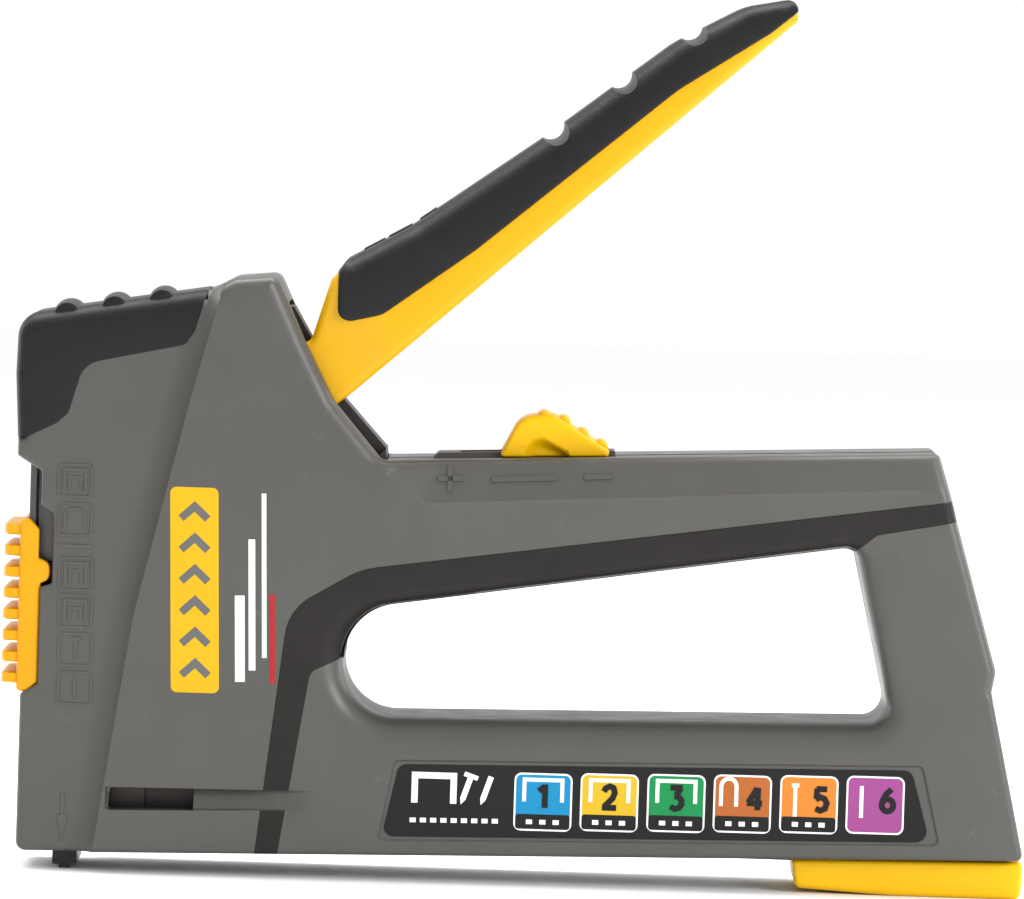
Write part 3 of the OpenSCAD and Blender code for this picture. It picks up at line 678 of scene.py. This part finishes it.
# Screw heads with a six-pointed socket
HEAD_PROFILE = [(-4, 0), (-4, 1.4), (0, 1.4), (0, 2.95), (1.1, 2.95), (1.5, 2.6), (1.72, 1.6), (1.8, 0)]
STAR_TIP, STAR_VALLEY, SOCKET_FLOOR = 1.45, 0.98, 14.1
heads = []
for x, z in SCREWS:
    head = lathe(HEAD_PROFILE, (x, SCREW_SEAT + 0.1, z), (0, 1, 0), "screw", SCREW, 40)
    star = []
    for k in range(12):
        t = math.tau * k / 12
        r = STAR_TIP if k % 2 == 0 else STAR_VALLEY
        star.append((x + r * math.cos(t), z + r * math.sin(t), 0.12, 0))
    boolean(head, prism([star], SOCKET_FLOOR, HALF + 1))
    heads.append(head)
screws = merged("screw_heads", heads, SCREW)
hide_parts("housing_screws")
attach(screws, "body")

# ---------------------------------------------------------------- rubber skins

strip_loop, groove_loop = dense(STRIP, 0.9), dense(GROOVE, 2)
STRIP_PROUD, STRIP_SLOPE, STRIP_THICK = 0.14, 0.12, 1.0
LINER_OUT, LINER_LENGTH = 13.4, 13.1


def strip_area(middle):
    """Where the strip may lie: on the housing, and clear of its loop and groove."""
    area = inside(middle, HOUSING_LOOPS[0][0]) & ~inside(middle, HOUSING_LOOPS[1][0])
    return area & ~inside(middle, groove_loop[0])


strip_lines = [(grown(strip_loop[0], -STRIP_SLOPE), True)]
ring_lines = [(p, True) for p, _ in HOUSING_LOOPS] + [(groove_loop[0], True)]
for f in (0.15, 0.35, 0.65, 1.0):
    for (p, e), way in zip(HOUSING_LOOPS, (-1, 1)):
        ring_lines.append((p + (grown(p, 1.0) - p) * (way * e * f)[:, None], True))
strip_at, strip_tri = triangles([strip_loop], strip_lines + ring_lines, rings=False, keep=strip_area)
surface = housing_surface(strip_at)
edge_gap, _ = nearest(strip_at, [strip_loop])
lift = STRIP_PROUD * smooth(edge_gap / STRIP_SLOPE) + 0.01
front = np.stack([strip_at[:, 0], -(surface + lift), strip_at[:, 1]], 1)
back = front + [0, STRIP_THICK, 0]
verts, faces = solid(front, back, strip_tri)
strip_left = piece("strip_left", verts, faces, STRIPE)
# The strip also lines the top and front of the finger loop
loop_pts = HOUSING_LOOPS[1][0]
lining = loop_pts[inside(loop_pts, grown(strip_loop[0], 0.3))]
lining = lining[np.argsort(lining[:, 0] + 0.2 * lining[:, 1])]
band = np.vstack([lining, (lining + [0.12, -0.16])[::-1]])
low = sheet(band, -LINER_OUT)
high = low + [0, LINER_LENGTH, 0]
n = len(band)
liner_faces = [(i, (i + 1) % n, n + (i + 1) % n, n + i) for i in range(n)]
for i in range(n // 2 - 1):
    a, b, c, d = i, i + 1, n - 2 - i, n - 1 - i
    liner_faces += [(a, d, c, b), (a + n, b + n, c + n, d + n)]
liner = piece("liner", np.vstack([low, high]), liner_faces, STRIPE)
strip_left = merged("strip_left", [strip_left, liner], STRIPE)
strip_right = mirrored(strip_left, "strip_right")
for side, obj in (("left", strip_left), ("right", strip_right)):
    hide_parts(side + "_grip_strip")
    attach(obj, "body")

# Finger ridges on the cap, as barrels sunk in its sloping top
RIDGES = (-2.3, 6.9, 16.1)
RIDGE_REACH, RIDGE_RADIUS, RIDGE_END = 11.4, 3.05, 2.5
CAP_SLOPE = 0.1667
cap = pillow("nose_cap", [CAP], CAP_HALF, SOFT)
boolean(cap, prism([HOUSING], -(COLUMN - CAP_SEAT), COLUMN - CAP_SEAT, step=0.8))
for x in RIDGES:
    profile = [(0, 0), (0, RIDGE_END - 0.3), (0.2, RIDGE_END)]
    profile += [(RIDGE_REACH + y, RIDGE_RADIUS - 0.5 * (y / 11.1) ** 2) for y in np.linspace(-10.8, 10.8, 19)]
    profile += [(2 * RIDGE_REACH - 0.2, RIDGE_END), (2 * RIDGE_REACH, RIDGE_END - 0.3), (2 * RIDGE_REACH, 0)]
    start = (x, -RIDGE_REACH, 108.6 + CAP_SLOPE * x)
    boolean(cap, lathe(profile, start, (0, 1, 0), "rib", SOFT, 40, 50), "UNION", 40)
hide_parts("front_cap")
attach(cap, "body")

# ---------------------------------------------------------------- handle


def shell_thickness(at):
    """The shell widens from its neck to the part that carries the grip."""
    return NECK_HALF + (SHELL_HALF - NECK_HALF) * smooth((at[:, 0] - 23) / 11)


neck = np.array([(u, v) for u in np.arange(18.5, 40, 1.1) for v in np.arange(-10, 8, 1.1)])
shell = pillow("handle_body", [SHELL], shell_thickness, YELLOW, turn=on_handle, fill=neck)
boolean(shell, prism([CORE], -CORE_HALF, CORE_HALF, turn=on_handle, step=1.5), "UNION")
boolean(shell, prism([CHANNEL], -CHANNEL_HALF, CHANNEL_HALF, turn=on_handle, step=1.5))
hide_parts("handle_shell")
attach(shell, "handle")

# Round scoops across the grip, which dip towards its sides
SCOOP_RADIUS, SCOOP_DIP = 2.75, 1.7
SCOOP_SIDES = 40
grip = pillow("handle_grip_look", [GRIP], GRIP_HALF, SOFT, turn=on_handle)
boolean(grip, prism([CORE], -CORE_HALF, CORE_HALF, turn=on_handle, step=1.5))
for u, v in SCOOPS:
    rings = []
    for y in np.linspace(-14, 14, 21):
        t = np.linspace(0, math.tau, SCOOP_SIDES, endpoint=False)
        low = v - SCOOP_DIP * (y / GRIP_HALF) ** 2
        circle = [u + SCOOP_RADIUS * np.cos(t), np.full(SCOOP_SIDES, y), low + SCOOP_RADIUS * np.sin(t)]
        rings.append(on_handle(np.stack(circle, 1)))
    boolean(grip, loft("cutter", rings), sharp=40)

PAD_DEPTH, PAD_PROUD, PAD_HALF = 1.5, 0.45, 5


def grip_crest(u):
    """Height of the grip's top line near its front end."""
    return 9.05 - 0.2206 * (u - 36.1) if u < 49.7 else 6.05 - 0.1056 * (u - 49.7)


for start, end in GRIP_PADS:
    first, last = grip_crest(start), grip_crest(end)
    pad = [(start, first - PAD_DEPTH, 0.2, 0.2), (end, last - PAD_DEPTH, 0.2, 0.2),
           (end, last + PAD_PROUD, 0.2, 0.25), (start, first + PAD_PROUD, 0.2, 0.25)]
    boolean(grip, pillow("pad", [pad], PAD_HALF, SOFT, turn=on_handle, step=0.3), "UNION", 40)
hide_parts("handle_grip")
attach(grip, "handle")

# ---------------------------------------------------------------- controls


KNOB_RIDGES = [(91.2, 90.9), (95.0, 90.0), (98.7, 87.6), (102.4, 85.5)]
KNOB_RIDGE_PROFILE = [(0, 0), (0, 0.9), (0.5, 1.4), (11.1, 1.4), (11.6, 0.9), (11.6, 0)]
HOLLOW_DEPTH = 1.9


def knob_thickness(at):
    """The knob's sides have a scooped hollow with a soft edge at its front."""
    reach = 1.1 + 1.6 * smooth((96 - at[:, 0]) / 8)
    return KNOB_HALF - HOLLOW_DEPTH * smooth(depth_in(at, KNOB_HOLLOW) / reach)


grid = np.array([(x, z) for x in np.arange(84, 103, 0.5) for z in np.arange(81.4, 91, 0.5)])
knob = pillow("power_knob_look", [KNOB], knob_thickness, FOOT_YELLOW, step=0.4, fill=grid)
for x, z in KNOB_RIDGES:
    ridge = lathe(KNOB_RIDGE_PROFILE, (x, -5.8, z), (0, 1, 0), "ridge", FOOT_YELLOW, 20, 50)
    boolean(knob, ridge, "UNION", 40)
boolean(knob, prism([[(80, 78, 0, 0), (108, 78, 0, 0), (108, 85.3, 0, 0), (80, 84.15, 0, 0)]], -5.3, 5.3))
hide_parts("power_knob")
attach(knob, "power_adjuster")

RIB_COUNT, RIB_FIRST, RIB_PITCH = 8, 37.3, 4.15
RIB_REACH, RIB_FRONT, RIB_BACK, RIB_TALL = 11.7, -13.35, -9.4, 1.2
slider = pillow("selector_look", [SLIDER], SLIDER_HALF, YELLOW_PLASTIC, step=0.5)
boolean(slider, box((-8.85, 0), (-9.9, 9.9), (30, 75)))
boolean(slider, box((-9.2, -3.7), (-2, 2), (40.4, 43.6)), "UNION")
for k in range(RIB_COUNT):
    rib_z = RIB_FIRST + RIB_PITCH * k
    rings = []
    for y in np.linspace(-RIB_REACH, RIB_REACH, 25):
        end = max(0.0, abs(y) - 10.9) / 0.8
        front = RIB_FRONT + 0.15 * (y / RIB_REACH) ** 2 + 0.4 * end ** 2
        tall = RIB_TALL - 0.3 * end ** 2
        tip = tall * 0.9
        outline = [(RIB_BACK, rib_z - tall, 0, 0), (RIB_BACK, rib_z + tall, 0, 0),
                   (front, rib_z + tip, 0.45, 0), (front, rib_z - tip, 0.45, 0)]
        rings.append(sheet(dense(outline, 9)[0], y))
    boolean(slider, loft("rib", rings, YELLOW_PLASTIC), "UNION", 40)
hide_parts("selector_slide")
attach(slider, "selector")

FOOT_SCREW_X, FOOT_SCREW_Y = 176, 4.5
FOOT_SCREW_HOLE = [(0, 0), (0, 2.34), (2.4, 2.34), (2.4, 1.26), (9, 1.26), (9, 0)]
foot = pillow("foot_look", [FOOT], FOOT_HALF, FOOT_YELLOW)
boolean(foot, box((146, 183.4), (-9.5, 9.5), (2.2, 9)))
boolean(foot, box((140, 190), (-4.7, 4.7), (5.3, 9)))
for y in (-FOOT_SCREW_Y, FOOT_SCREW_Y):
    boolean(foot, lathe(FOOT_SCREW_HOLE, (FOOT_SCREW_X, y, -1), (0, 0, 1), sides=40))
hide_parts("magazine_foot")
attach(foot, "magazine")

# ---------------------------------------------------------------- printed films and cast marks

# Each stroke is a path in a box one unit tall. A stroke that ends where it starts is a ring.
SIX_BOWL = [(0.31 * math.cos(t), 0.27 + 0.27 * math.sin(t)) for t in np.linspace(0, math.tau, 17)[:-1]]
STROKES = {
    "1": [[(-0.24, 0.74), (0.06, 0.93)], [(0.1, 1.04), (0.1, 0)]],
    "2": [[(-0.3, 0.74), (-0.2, 0.9), (0.02, 0.98), (0.22, 0.91), (0.29, 0.7), (0.18, 0.46), (-0.26, 0.08)],
          [(-0.38, 0.03), (0.38, 0.03)]],
    "3": [[(-0.32, 0.95), (0.34, 0.95)], [(0.26, 0.93), (-0.02, 0.6)],
          [(-0.1, 0.57), (0.12, 0.55), (0.28, 0.42), (0.3, 0.22), (0.18, 0.06), (-0.06, 0), (-0.3, 0.11)]],
    "4": [[(0.16, 0), (0.16, 1)], [(0.12, 0.97), (-0.34, 0.33)], [(-0.42, 0.3), (0.4, 0.3)]],
    "5": [[(-0.27, 0.96), (0.3, 0.96)], [(-0.23, 0.98), (-0.27, 0.52)],
          [(-0.3, 0.5), (-0.04, 0.6), (0.18, 0.53), (0.3, 0.33), (0.2, 0.09), (-0.04, 0), (-0.3, 0.09)]],
    "6": [[(0.2, 0.98), (-0.08, 0.76), (-0.25, 0.5), (-0.31, 0.27)], SIX_BOWL + SIX_BOWL[:1]],
}
U_SHAPE = [[(-0.9, 0), (-0.9, 1), (0.9, 1), (0.9, 0)]]
CROWN = [(-0.55 * math.cos(t), 0.72 + 0.28 * math.sin(t)) for t in np.linspace(0, math.pi, 11)]
ARCH = [[(-0.55, 0), *CROWN, (0.55, 0)]]
NAIL = [[(0, 0.02), (0, 1)], [(-0.28, 1), (0.28, 1)]]
PIN = [[(0, 0), (0, 1)]]
ICONS = [U_SHAPE, U_SHAPE, U_SHAPE, ARCH, NAIL, PIN]


def ribbon(path, width, outer, inner, closed=False):
    """Points and faces of a flat ribbon along a path in the XZ plane."""
    path = np.array(path, float)
    n = len(path)
    left, right = [], []
    for i in range(n):
        before = path[i - 1] if closed or i > 0 else None
        after = path[(i + 1) % n] if closed or i < n - 1 else None
        d0 = unit(path[i] - before) if before is not None else unit(after - path[i])
        d1 = unit(after - path[i]) if after is not None else d0
        mean = unit(d0 + d1)
        normal = np.array([-mean[1], mean[0]])
        reach = width / 2 / max(0.5, normal @ np.array([-d0[1], d0[0]]))
        left.append(path[i] + normal * reach)
        right.append(path[i] - normal * reach)
    flat = np.array(left + right)
    verts = np.vstack([sheet(flat, outer), sheet(flat, inner)])
    m, faces = 2 * n, []
    for i in range(n if closed else n - 1):
        j = (i + 1) % n
        faces += [(n + i, n + j, j, i), (m + i, m + j, m + n + j, m + n + i)]
        faces += [(i, j, m + j, m + i), (m + n + i, m + n + j, n + j, n + i)]
    if not closed:
        faces += [(0, m, m + n, n), (n - 1, 2 * n - 1, m + 2 * n - 1, m + n - 1)]
    return verts, faces


class Ink:
    """Collects flat shapes of one colour on one side of the tool."""

    def __init__(self, side):
        self.side, self.verts, self.faces = side, [], []

    def add(self, verts, faces):
        base = len(self.verts)
        verts = np.array(verts, float)
        if self.side > 0:
            verts[:, 1] *= -1
            faces = [f[::-1] for f in faces]
        self.verts.extend(verts)
        self.faces.extend([base + i for i in f] for f in faces)

    def line(self, path, width, outer, inner, closed=False):
        self.add(*ribbon(path, width, outer, inner, closed))

    def glyph(self, strokes, centre, size, width, outer, inner):
        flip = -1 if self.side > 0 else 1
        for level, stroke in enumerate(strokes):
            closed = stroke[0] == stroke[-1]
            path = [(centre[0] + flip * size[0] * x, centre[1] + size[1] * (y - 0.5)) for x, y in stroke]
            self.line(path[:-1] if closed else path, width, outer - 0.01 * level, inner, closed)

    def area(self, corners, outer, inner):
        at, tri = triangles([dense(corners, 1.0)], rings=False)
        self.add(*solid(sheet(at, outer), sheet(at, inner), tri))

    def make(self, name, material, slot):
        obj = piece(name, self.verts, self.faces, material, 30)
        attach(obj, "body")
        return obj


def rect(cx, cz, w, h, r, lean=0.0):
    """A rounded rectangle, its top pushed along X by lean."""
    return [(cx - w / 2, cz - h / 2, r, 0), (cx + w / 2, cz - h / 2, r, 0),
            (cx + w / 2 + lean, cz + h / 2, r, 0), (cx - w / 2 + lean, cz + h / 2, r, 0)]


CHIPS = [93.25, 106.15, 119.15, 132.05, 145.0, 157.9]
CHIP_SIZE, CHIP_BORDER = 11.3, 0.7
ICON_SIZES = [(4.1, 4.3), (4.1, 4.3), (4.1, 4.3), (2.7, 5.4), (2.6, 6.2), (2.6, 6.2)]
LEGEND_X = 75.6
NAIL_HALF, NAIL_HEAD, NAIL_LEAN = 0.55, 1.4, 1.9
FACE = -(HALF - LABEL_DEPTH)
# Heights of the printed layers over the label's seat, so that no two share a plane
FILM_RISE, FRAME_RISE, COLOUR_RISE, FOOT_RISE, ICON_RISE, DIGIT_RISE = 0.12, 0.15, 0.18, 0.2, 0.23, 0.26
BADGE_RISE, MARK_RISE = 0.05, 0.08
LEAN = 0.0315
SCREW_CLEAR_Z = 53.6


def print_chip(k, x, sign, side, white, black):
    """A colour square with a pictogram and a digit, and a dark foot on all but the last."""
    flip = -1 if sign > 0 else 1
    z = 16.55 + 0.022 * (x - 93)
    inner = CHIP_SIZE - CHIP_BORDER
    chip = Ink(sign)
    white.area(rect(x, z, CHIP_SIZE, CHIP_SIZE, 1.4), FACE - FRAME_RISE, FACE)
    chip.area(rect(x, z, inner, inner, 1.1), FACE - COLOUR_RISE, FACE)
    chip.make("chip_%d_%s" % (k, side), CHIP_INKS[k], "label_film")
    if k < 5:
        black.area(rect(x, z - 3.85, inner, 2.9, 0.6), FACE - FOOT_RISE, FACE)
        for dash in (x - 2.6, x, x + 2.6):
            white.line([(dash - 0.6, z - 3.9), (dash + 0.6, z - 3.9)], 0.9, FACE - ICON_RISE, FACE)
    # The narrow pictograms stand beside their digit, the wide ones over it
    icon_x, digit_x = (x - flip * 2.7, x + flip * 2.4) if k >= 3 else (x, x)
    icon_z = z + (2.2 if k < 4 else 0.6)
    white.glyph(ICONS[k], (icon_x, icon_z), ICON_SIZES[k], 0.75, FACE - ICON_RISE, FACE)
    black.glyph(STROKES[str(k + 1)], (digit_x, z + 1.1), (3.6, 4.4), 1.15, FACE - DIGIT_RISE, FACE)


def print_legend(sign, white):
    """A staple, a nail and a brad over a dotted line."""
    flip = -1 if sign > 0 else 1
    white.glyph(U_SHAPE, (LEGEND_X - flip * 3.6, 18.4), (4.2, 5.4), 1.25, FACE - FRAME_RISE, FACE)
    for k in (0, 1):
        middle_x = LEGEND_X + flip * (2.6 + 3.9 * k)
        tip = np.array([middle_x - flip * NAIL_LEAN / 2, 15.6])
        top = np.array([middle_x + flip * NAIL_LEAN / 2, 21.2])
        along = unit(top - tip)
        across = np.array([along[1], -along[0]])
        wide, neck = across * NAIL_HALF, tip + along * 1.2
        outline = [tip, neck + wide, top + wide, top - wide, neck - wide]
        white.area([(*point, 0, 0) for point in outline], FACE - FRAME_RISE, FACE)
        if k == 0:
            head = [top - across * NAIL_HEAD, top + across * NAIL_HEAD]
            white.line(head, 0.9, FACE - FRAME_RISE - 0.01, FACE)
    for k in range(9):
        dash = [(67.4 + 2 * k, 12.3 + 0.03 * k), (68.6 + 2 * k, 12.32 + 0.03 * k)]
        white.line(dash, 0.9, FACE - FRAME_RISE, FACE)


def print_label(sign, side):
    film, white, black = Ink(sign), Ink(sign), Ink(sign)
    film.area(LABEL, FACE - FILM_RISE, FACE + 0.2)
    obj = film.make("label_film_" + side, FILM, "label_film")
    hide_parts(side + "_label")
    for k, x in enumerate(CHIPS):
        print_chip(k, x, sign, side, white, black)
    print_legend(sign, white)
    white.make("label_white_" + side, WHITE_INK, "label_film")
    black.make("label_dark_" + side, FILM, "label_film")


def print_badge(sign, side):
    """The upright badge with six chevrons."""
    badge, mark = Ink(sign), Ink(sign)
    badge.area(rect(24.9, 55.8, 9.4, 40, 1.2, -40 * LEAN), -HALF - BADGE_RISE, -HALF + 0.3)
    obj = badge.make("badge_film_" + side, BADGE_INK, "badge_film")
    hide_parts(side + "_badge")
    for k in range(6):
        z = 40.4 + 6.1 * k
        x = 24.8 - LEAN * (z - 40)
        chevron = [(x - 2.6, z - 1.2), (x, z + 1.2), (x + 2.6, z - 1.2)]
        mark.line(chevron, 1.5, -HALF - MARK_RISE, -HALF + 0.2)
    mark.make("badge_mark_" + side, GREY_INK, "badge_film")


def print_stripes(sign, side):
    """Three white stripes and a red line beside the badge."""
    stripes, red = Ink(sign), Ink(sign)
    for k, (low, high, width) in enumerate(((38.2, 55, 1.9), (40.5, 66, 1.3), (43, 75, 0.9))):
        x = 33.6 + 2.3 * k
        if sign > 0:
            # The right side has a screw here, so the stripes stay clear of its hole
            high, x = (SCREW_CLEAR_Z, x) if k < 2 else (high, x + 0.3)
        stripes.line([(x, low), (x - LEAN * (high - low), high)], width, -HALF - BADGE_RISE, -HALF + 0.2)
    stripes.make("stripes_" + side, WHITE_INK, "badge_film")
    red.line([(39.9, 38), (39.35, 55.4)], 1.1, -HALF - BADGE_RISE, -HALF + 0.2)
    red.make("red_line_" + side, RED_INK, "badge_film")


CAST_MARKS = [(0.3, 76.2, U_SHAPE), (0.5, 68.6, ARCH), (0.9, 58.0, U_SHAPE), (1.0, 50.7, U_SHAPE),
              (1.25, 43.25, NAIL), (1.3, 35.7, PIN)]
ARM_SIGNS = [[(70.8, 78.9), (75.8, 79.1)], [(73.3, 76.5), (73.2, 81.4)], [(81.3, 79.1), (94, 79.8)],
             [(99.3, 80.1), (104.6, 80.4)]]
SIGN_RISE, SIGN_ROOT = 0.3, -0.4


def raise_cast_marks(sign, side):
    """Six framed pictograms, a bar and a down arrow, raised on the front column."""
    cast = Ink(sign)
    base, rise = -COLUMN + 0.2, -COLUMN - 0.22
    for x, z, icon in CAST_MARKS:
        frame_line = dense(rect(x, z, 6.4, 6.2, 0.9), 1.0)[0]
        cast.line(frame_line, 0.42, rise, base, True)
        cast.glyph(icon, (x, z + 0.1), (2.3 if icon is U_SHAPE else 3.6, 4), 0.5, rise, base)
        if icon is U_SHAPE:
            cast.glyph(icon, (x, z - 0.6), (1.15, 2.5), 0.45, rise, base)
    cast.line([(0.8 - 3.3, 63.4), (0.8 + 3.3, 63.4)], 0.7, rise, base)
    cast.line([(-0.4, 15.2), (-0.4, 10.9)], 0.6, rise, base)
    cast.area([(-1.5, 10.9, 0, 0), (-0.4, 5.9, 0, 0), (0.7, 10.9, 0, 0)], rise, base)
    cast.make("cast_marks_" + side, PAINT, "housing_paint")


def raise_arm_signs(sign, side):
    """A plus, a bar and a minus, raised on the sloping band of the arm."""
    signs = Ink(sign)
    for path in ARM_SIGNS:
        signs.line(path, 1.0, 0, 1)
    verts = np.array(signs.verts)
    root = np.abs(verts[:, 1]) > 0.5
    verts[:, 1] = sign * (housing_thickness(verts[:, [0, 2]]) + np.where(root, SIGN_ROOT, SIGN_RISE))
    signs.verts = list(verts)
    signs.make("arm_signs_" + side, PAINT, "housing_paint")


for sign, side in ((-1, "left"), (1, "right")):
    print_label(sign, side)
    print_badge(sign, side)
    print_stripes(sign, side)
    raise_cast_marks(sign, side)
    raise_arm_signs(sign, side)

# ---------------------------------------------------------------- springs


WIRE_SIDES = 10


def tube(name, path, r, material):
    """A closed round wire along a path."""
    sides = WIRE_SIDES
    path = np.array(path, float)
    verts, n = [], len(path)
    for i in range(n):
        d = unit(path[min(i + 1, n - 1)] - path[max(i - 1, 0)])
        s = unit(np.cross(d, [0, 1, 0] if abs(d[1]) < 0.9 else [1, 0, 0]))
        t = np.cross(d, s)
        for k in range(sides):
            a = math.tau * k / sides
            verts.append(path[i] + r * (math.cos(a) * s + math.sin(a) * t))
    faces = []
    for i in range(n - 1):
        low, high = i * sides, (i + 1) * sides
        faces += [(low + k, low + (k + 1) % sides, high + (k + 1) % sides, high + k) for k in range(sides)]
    faces += [tuple(range(sides))[::-1], tuple((n - 1) * sides + k for k in range(sides))]
    return piece(name, verts, faces, material, 50)


def around(radius, angle):
    return radius * math.cos(angle), radius * math.sin(angle)


# The pusher's spring lies along the magazine
TURNS, TURN_STEPS = 36, 18
COIL_START, COIL_LENGTH, COIL_Z, COIL_RADIUS = 15.7, 155.9, 10.2, 2.1
coil = []
for k in range(TURNS * TURN_STEPS + 1):
    y, z = around(COIL_RADIUS, math.tau * k / TURN_STEPS)
    coil.append((COIL_START + COIL_LENGTH * k / (TURNS * TURN_STEPS), y, COIL_Z + z))
spring = tube("pusher_coil", coil, 0.4, BLUED)
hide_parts("pusher_spring")
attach(spring, "magazine")

# The handle's spring is wound on the pivot pin, with a leg at each end
WOUND, WOUND_STEPS, WOUND_RADIUS, WOUND_HALF = 6, 24, 4.6, 5.2
coil = [(36, -WOUND_HALF, 78)]
for k in range(WOUND * WOUND_STEPS + 1):
    x, z = around(WOUND_RADIUS, math.tau * k / WOUND_STEPS + math.radians(190))
    coil.append((PIVOT[0] + x, -WOUND_HALF + 2 * WOUND_HALF * k / (WOUND * WOUND_STEPS), PIVOT[1] + z))
coil.append((16, WOUND_HALF, 81.5))
spring = tube("handle_coil", coil, 0.75, BLUED)
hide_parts("handle_spring")
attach(spring, "body")

# ---------------------------------------------------------------- CAD nodes that stay

KEPT = {
    "housing_paint": PAINT, "soft_black": SOFT, "yellow_paint": YELLOW, "yellow_plastic": YELLOW_PLASTIC,
    "dark_plastic": DARK, "plate_steel": STEEL, "bright_steel": BRIGHT, "spring_steel": BLUED,
    "label_film": FILM, "badge_film": BADGE_INK,
}
# The magazine's inner parts take the steel that is darkened with the painted shade of the side window's
# recess.
OWN_FINISH = {
    "staple_rail": SHADE_DARKENED_STEEL, "magazine_channel": SHADE_DARKENED_STEEL, "pusher": SHADE_DARKENED_STEEL,
    "nose_guide": OILED, "nose_rear_plate": OILED, "adjuster_rail": RAIL_GREY,
}
for part in frame["record"]["subparts"]:
    node = frame["nodes"].get(part["node"])
    if node is not None:
        for slot in node.material_slots:
            slot.material = OWN_FINISH.get(part["node"], KEPT[part["material_slot"]])

# ---------------------------------------------------------------- floor, lights, camera

floor_mat = finish("pale_floor", (0.95, 0.95, 0.945), 0.6, grain=0.02, grain_mm=3, mottle=0.01)
FLOOR = 3.0
mesh = bpy.data.meshes.new("floor")
corners = [(-FLOOR, -FLOOR, 0), (FLOOR, -FLOOR, 0), (FLOOR, FLOOR, 0), (-FLOOR, FLOOR, 0)]
mesh.from_pydata(corners, [], [(0, 1, 2, 3)])
mesh.materials.append(floor_mat)
floor = bpy.data.objects.new("floor", mesh)
bpy.context.scene.collection.objects.link(floor)

world = bpy.data.worlds.new("studio")
bpy.context.scene.world = world
world.use_nodes = True
world.node_tree.nodes["Background"].inputs["Color"].default_value = (1, 1, 1, 1)
world.node_tree.nodes["Background"].inputs["Strength"].default_value = 1.02
bpy.context.scene.view_settings.view_transform = "Standard"


def softbox(name, at, toward, size, power):
    data = bpy.data.lights.new(name, "AREA")
    data.shape = "RECTANGLE"
    data.size, data.size_y = size
    data.energy = power
    obj = bpy.data.objects.new(name, data)
    obj.location = at
    obj.rotation_euler = (Vector(toward) - Vector(at)).to_track_quat("-Z", "Y").to_euler()
    bpy.context.scene.collection.objects.link(obj)


low, high = (np.array(v) for v in CAD_BOX)
middle = (low + high) / 2
softbox("top", (middle[0], 0.12, 0.9), middle, (1.3, 0.35), 14)
softbox("rim_left", (-0.75, 0.45, 0.35), middle, (0.4, 0.7), 3)
softbox("rim_right", (1.0, 0.45, 0.35), middle, (0.4, 0.7), 4)
softbox("key", (0.75, -0.6, 0.35), middle, (0.4, 0.4), 6)

# The camera looks slightly down from far off, and is rolled so that the tool stands as in the photo
DISTANCE, TILT, ROLL = 1.5, math.radians(2.8), math.radians(1.806)
WIDTH = 0.20098
SENSOR = 36
aim = Vector((0.08507, 0.0, 0.0843))
forward = Vector((0, math.cos(TILT), -math.sin(TILT)))
right0, up0 = Vector((1, 0, 0)), Vector((0, math.sin(TILT), math.cos(TILT)))
right = right0 * math.cos(ROLL) + up0 * math.sin(ROLL)
up = up0 * math.cos(ROLL) - right0 * math.sin(ROLL)
data = bpy.data.cameras.new("camera")
data.sensor_width = SENSOR
data.lens = SENSOR * DISTANCE / WIDTH
data.clip_end = 50
camera = bpy.data.objects.new("camera", data)
rot = Matrix((right, up, -forward)).transposed().to_4x4()
camera.matrix_world = Matrix.Translation(aim - forward * DISTANCE) @ rot
bpy.context.scene.collection.objects.link(camera)
bpy.context.scene.camera = camera
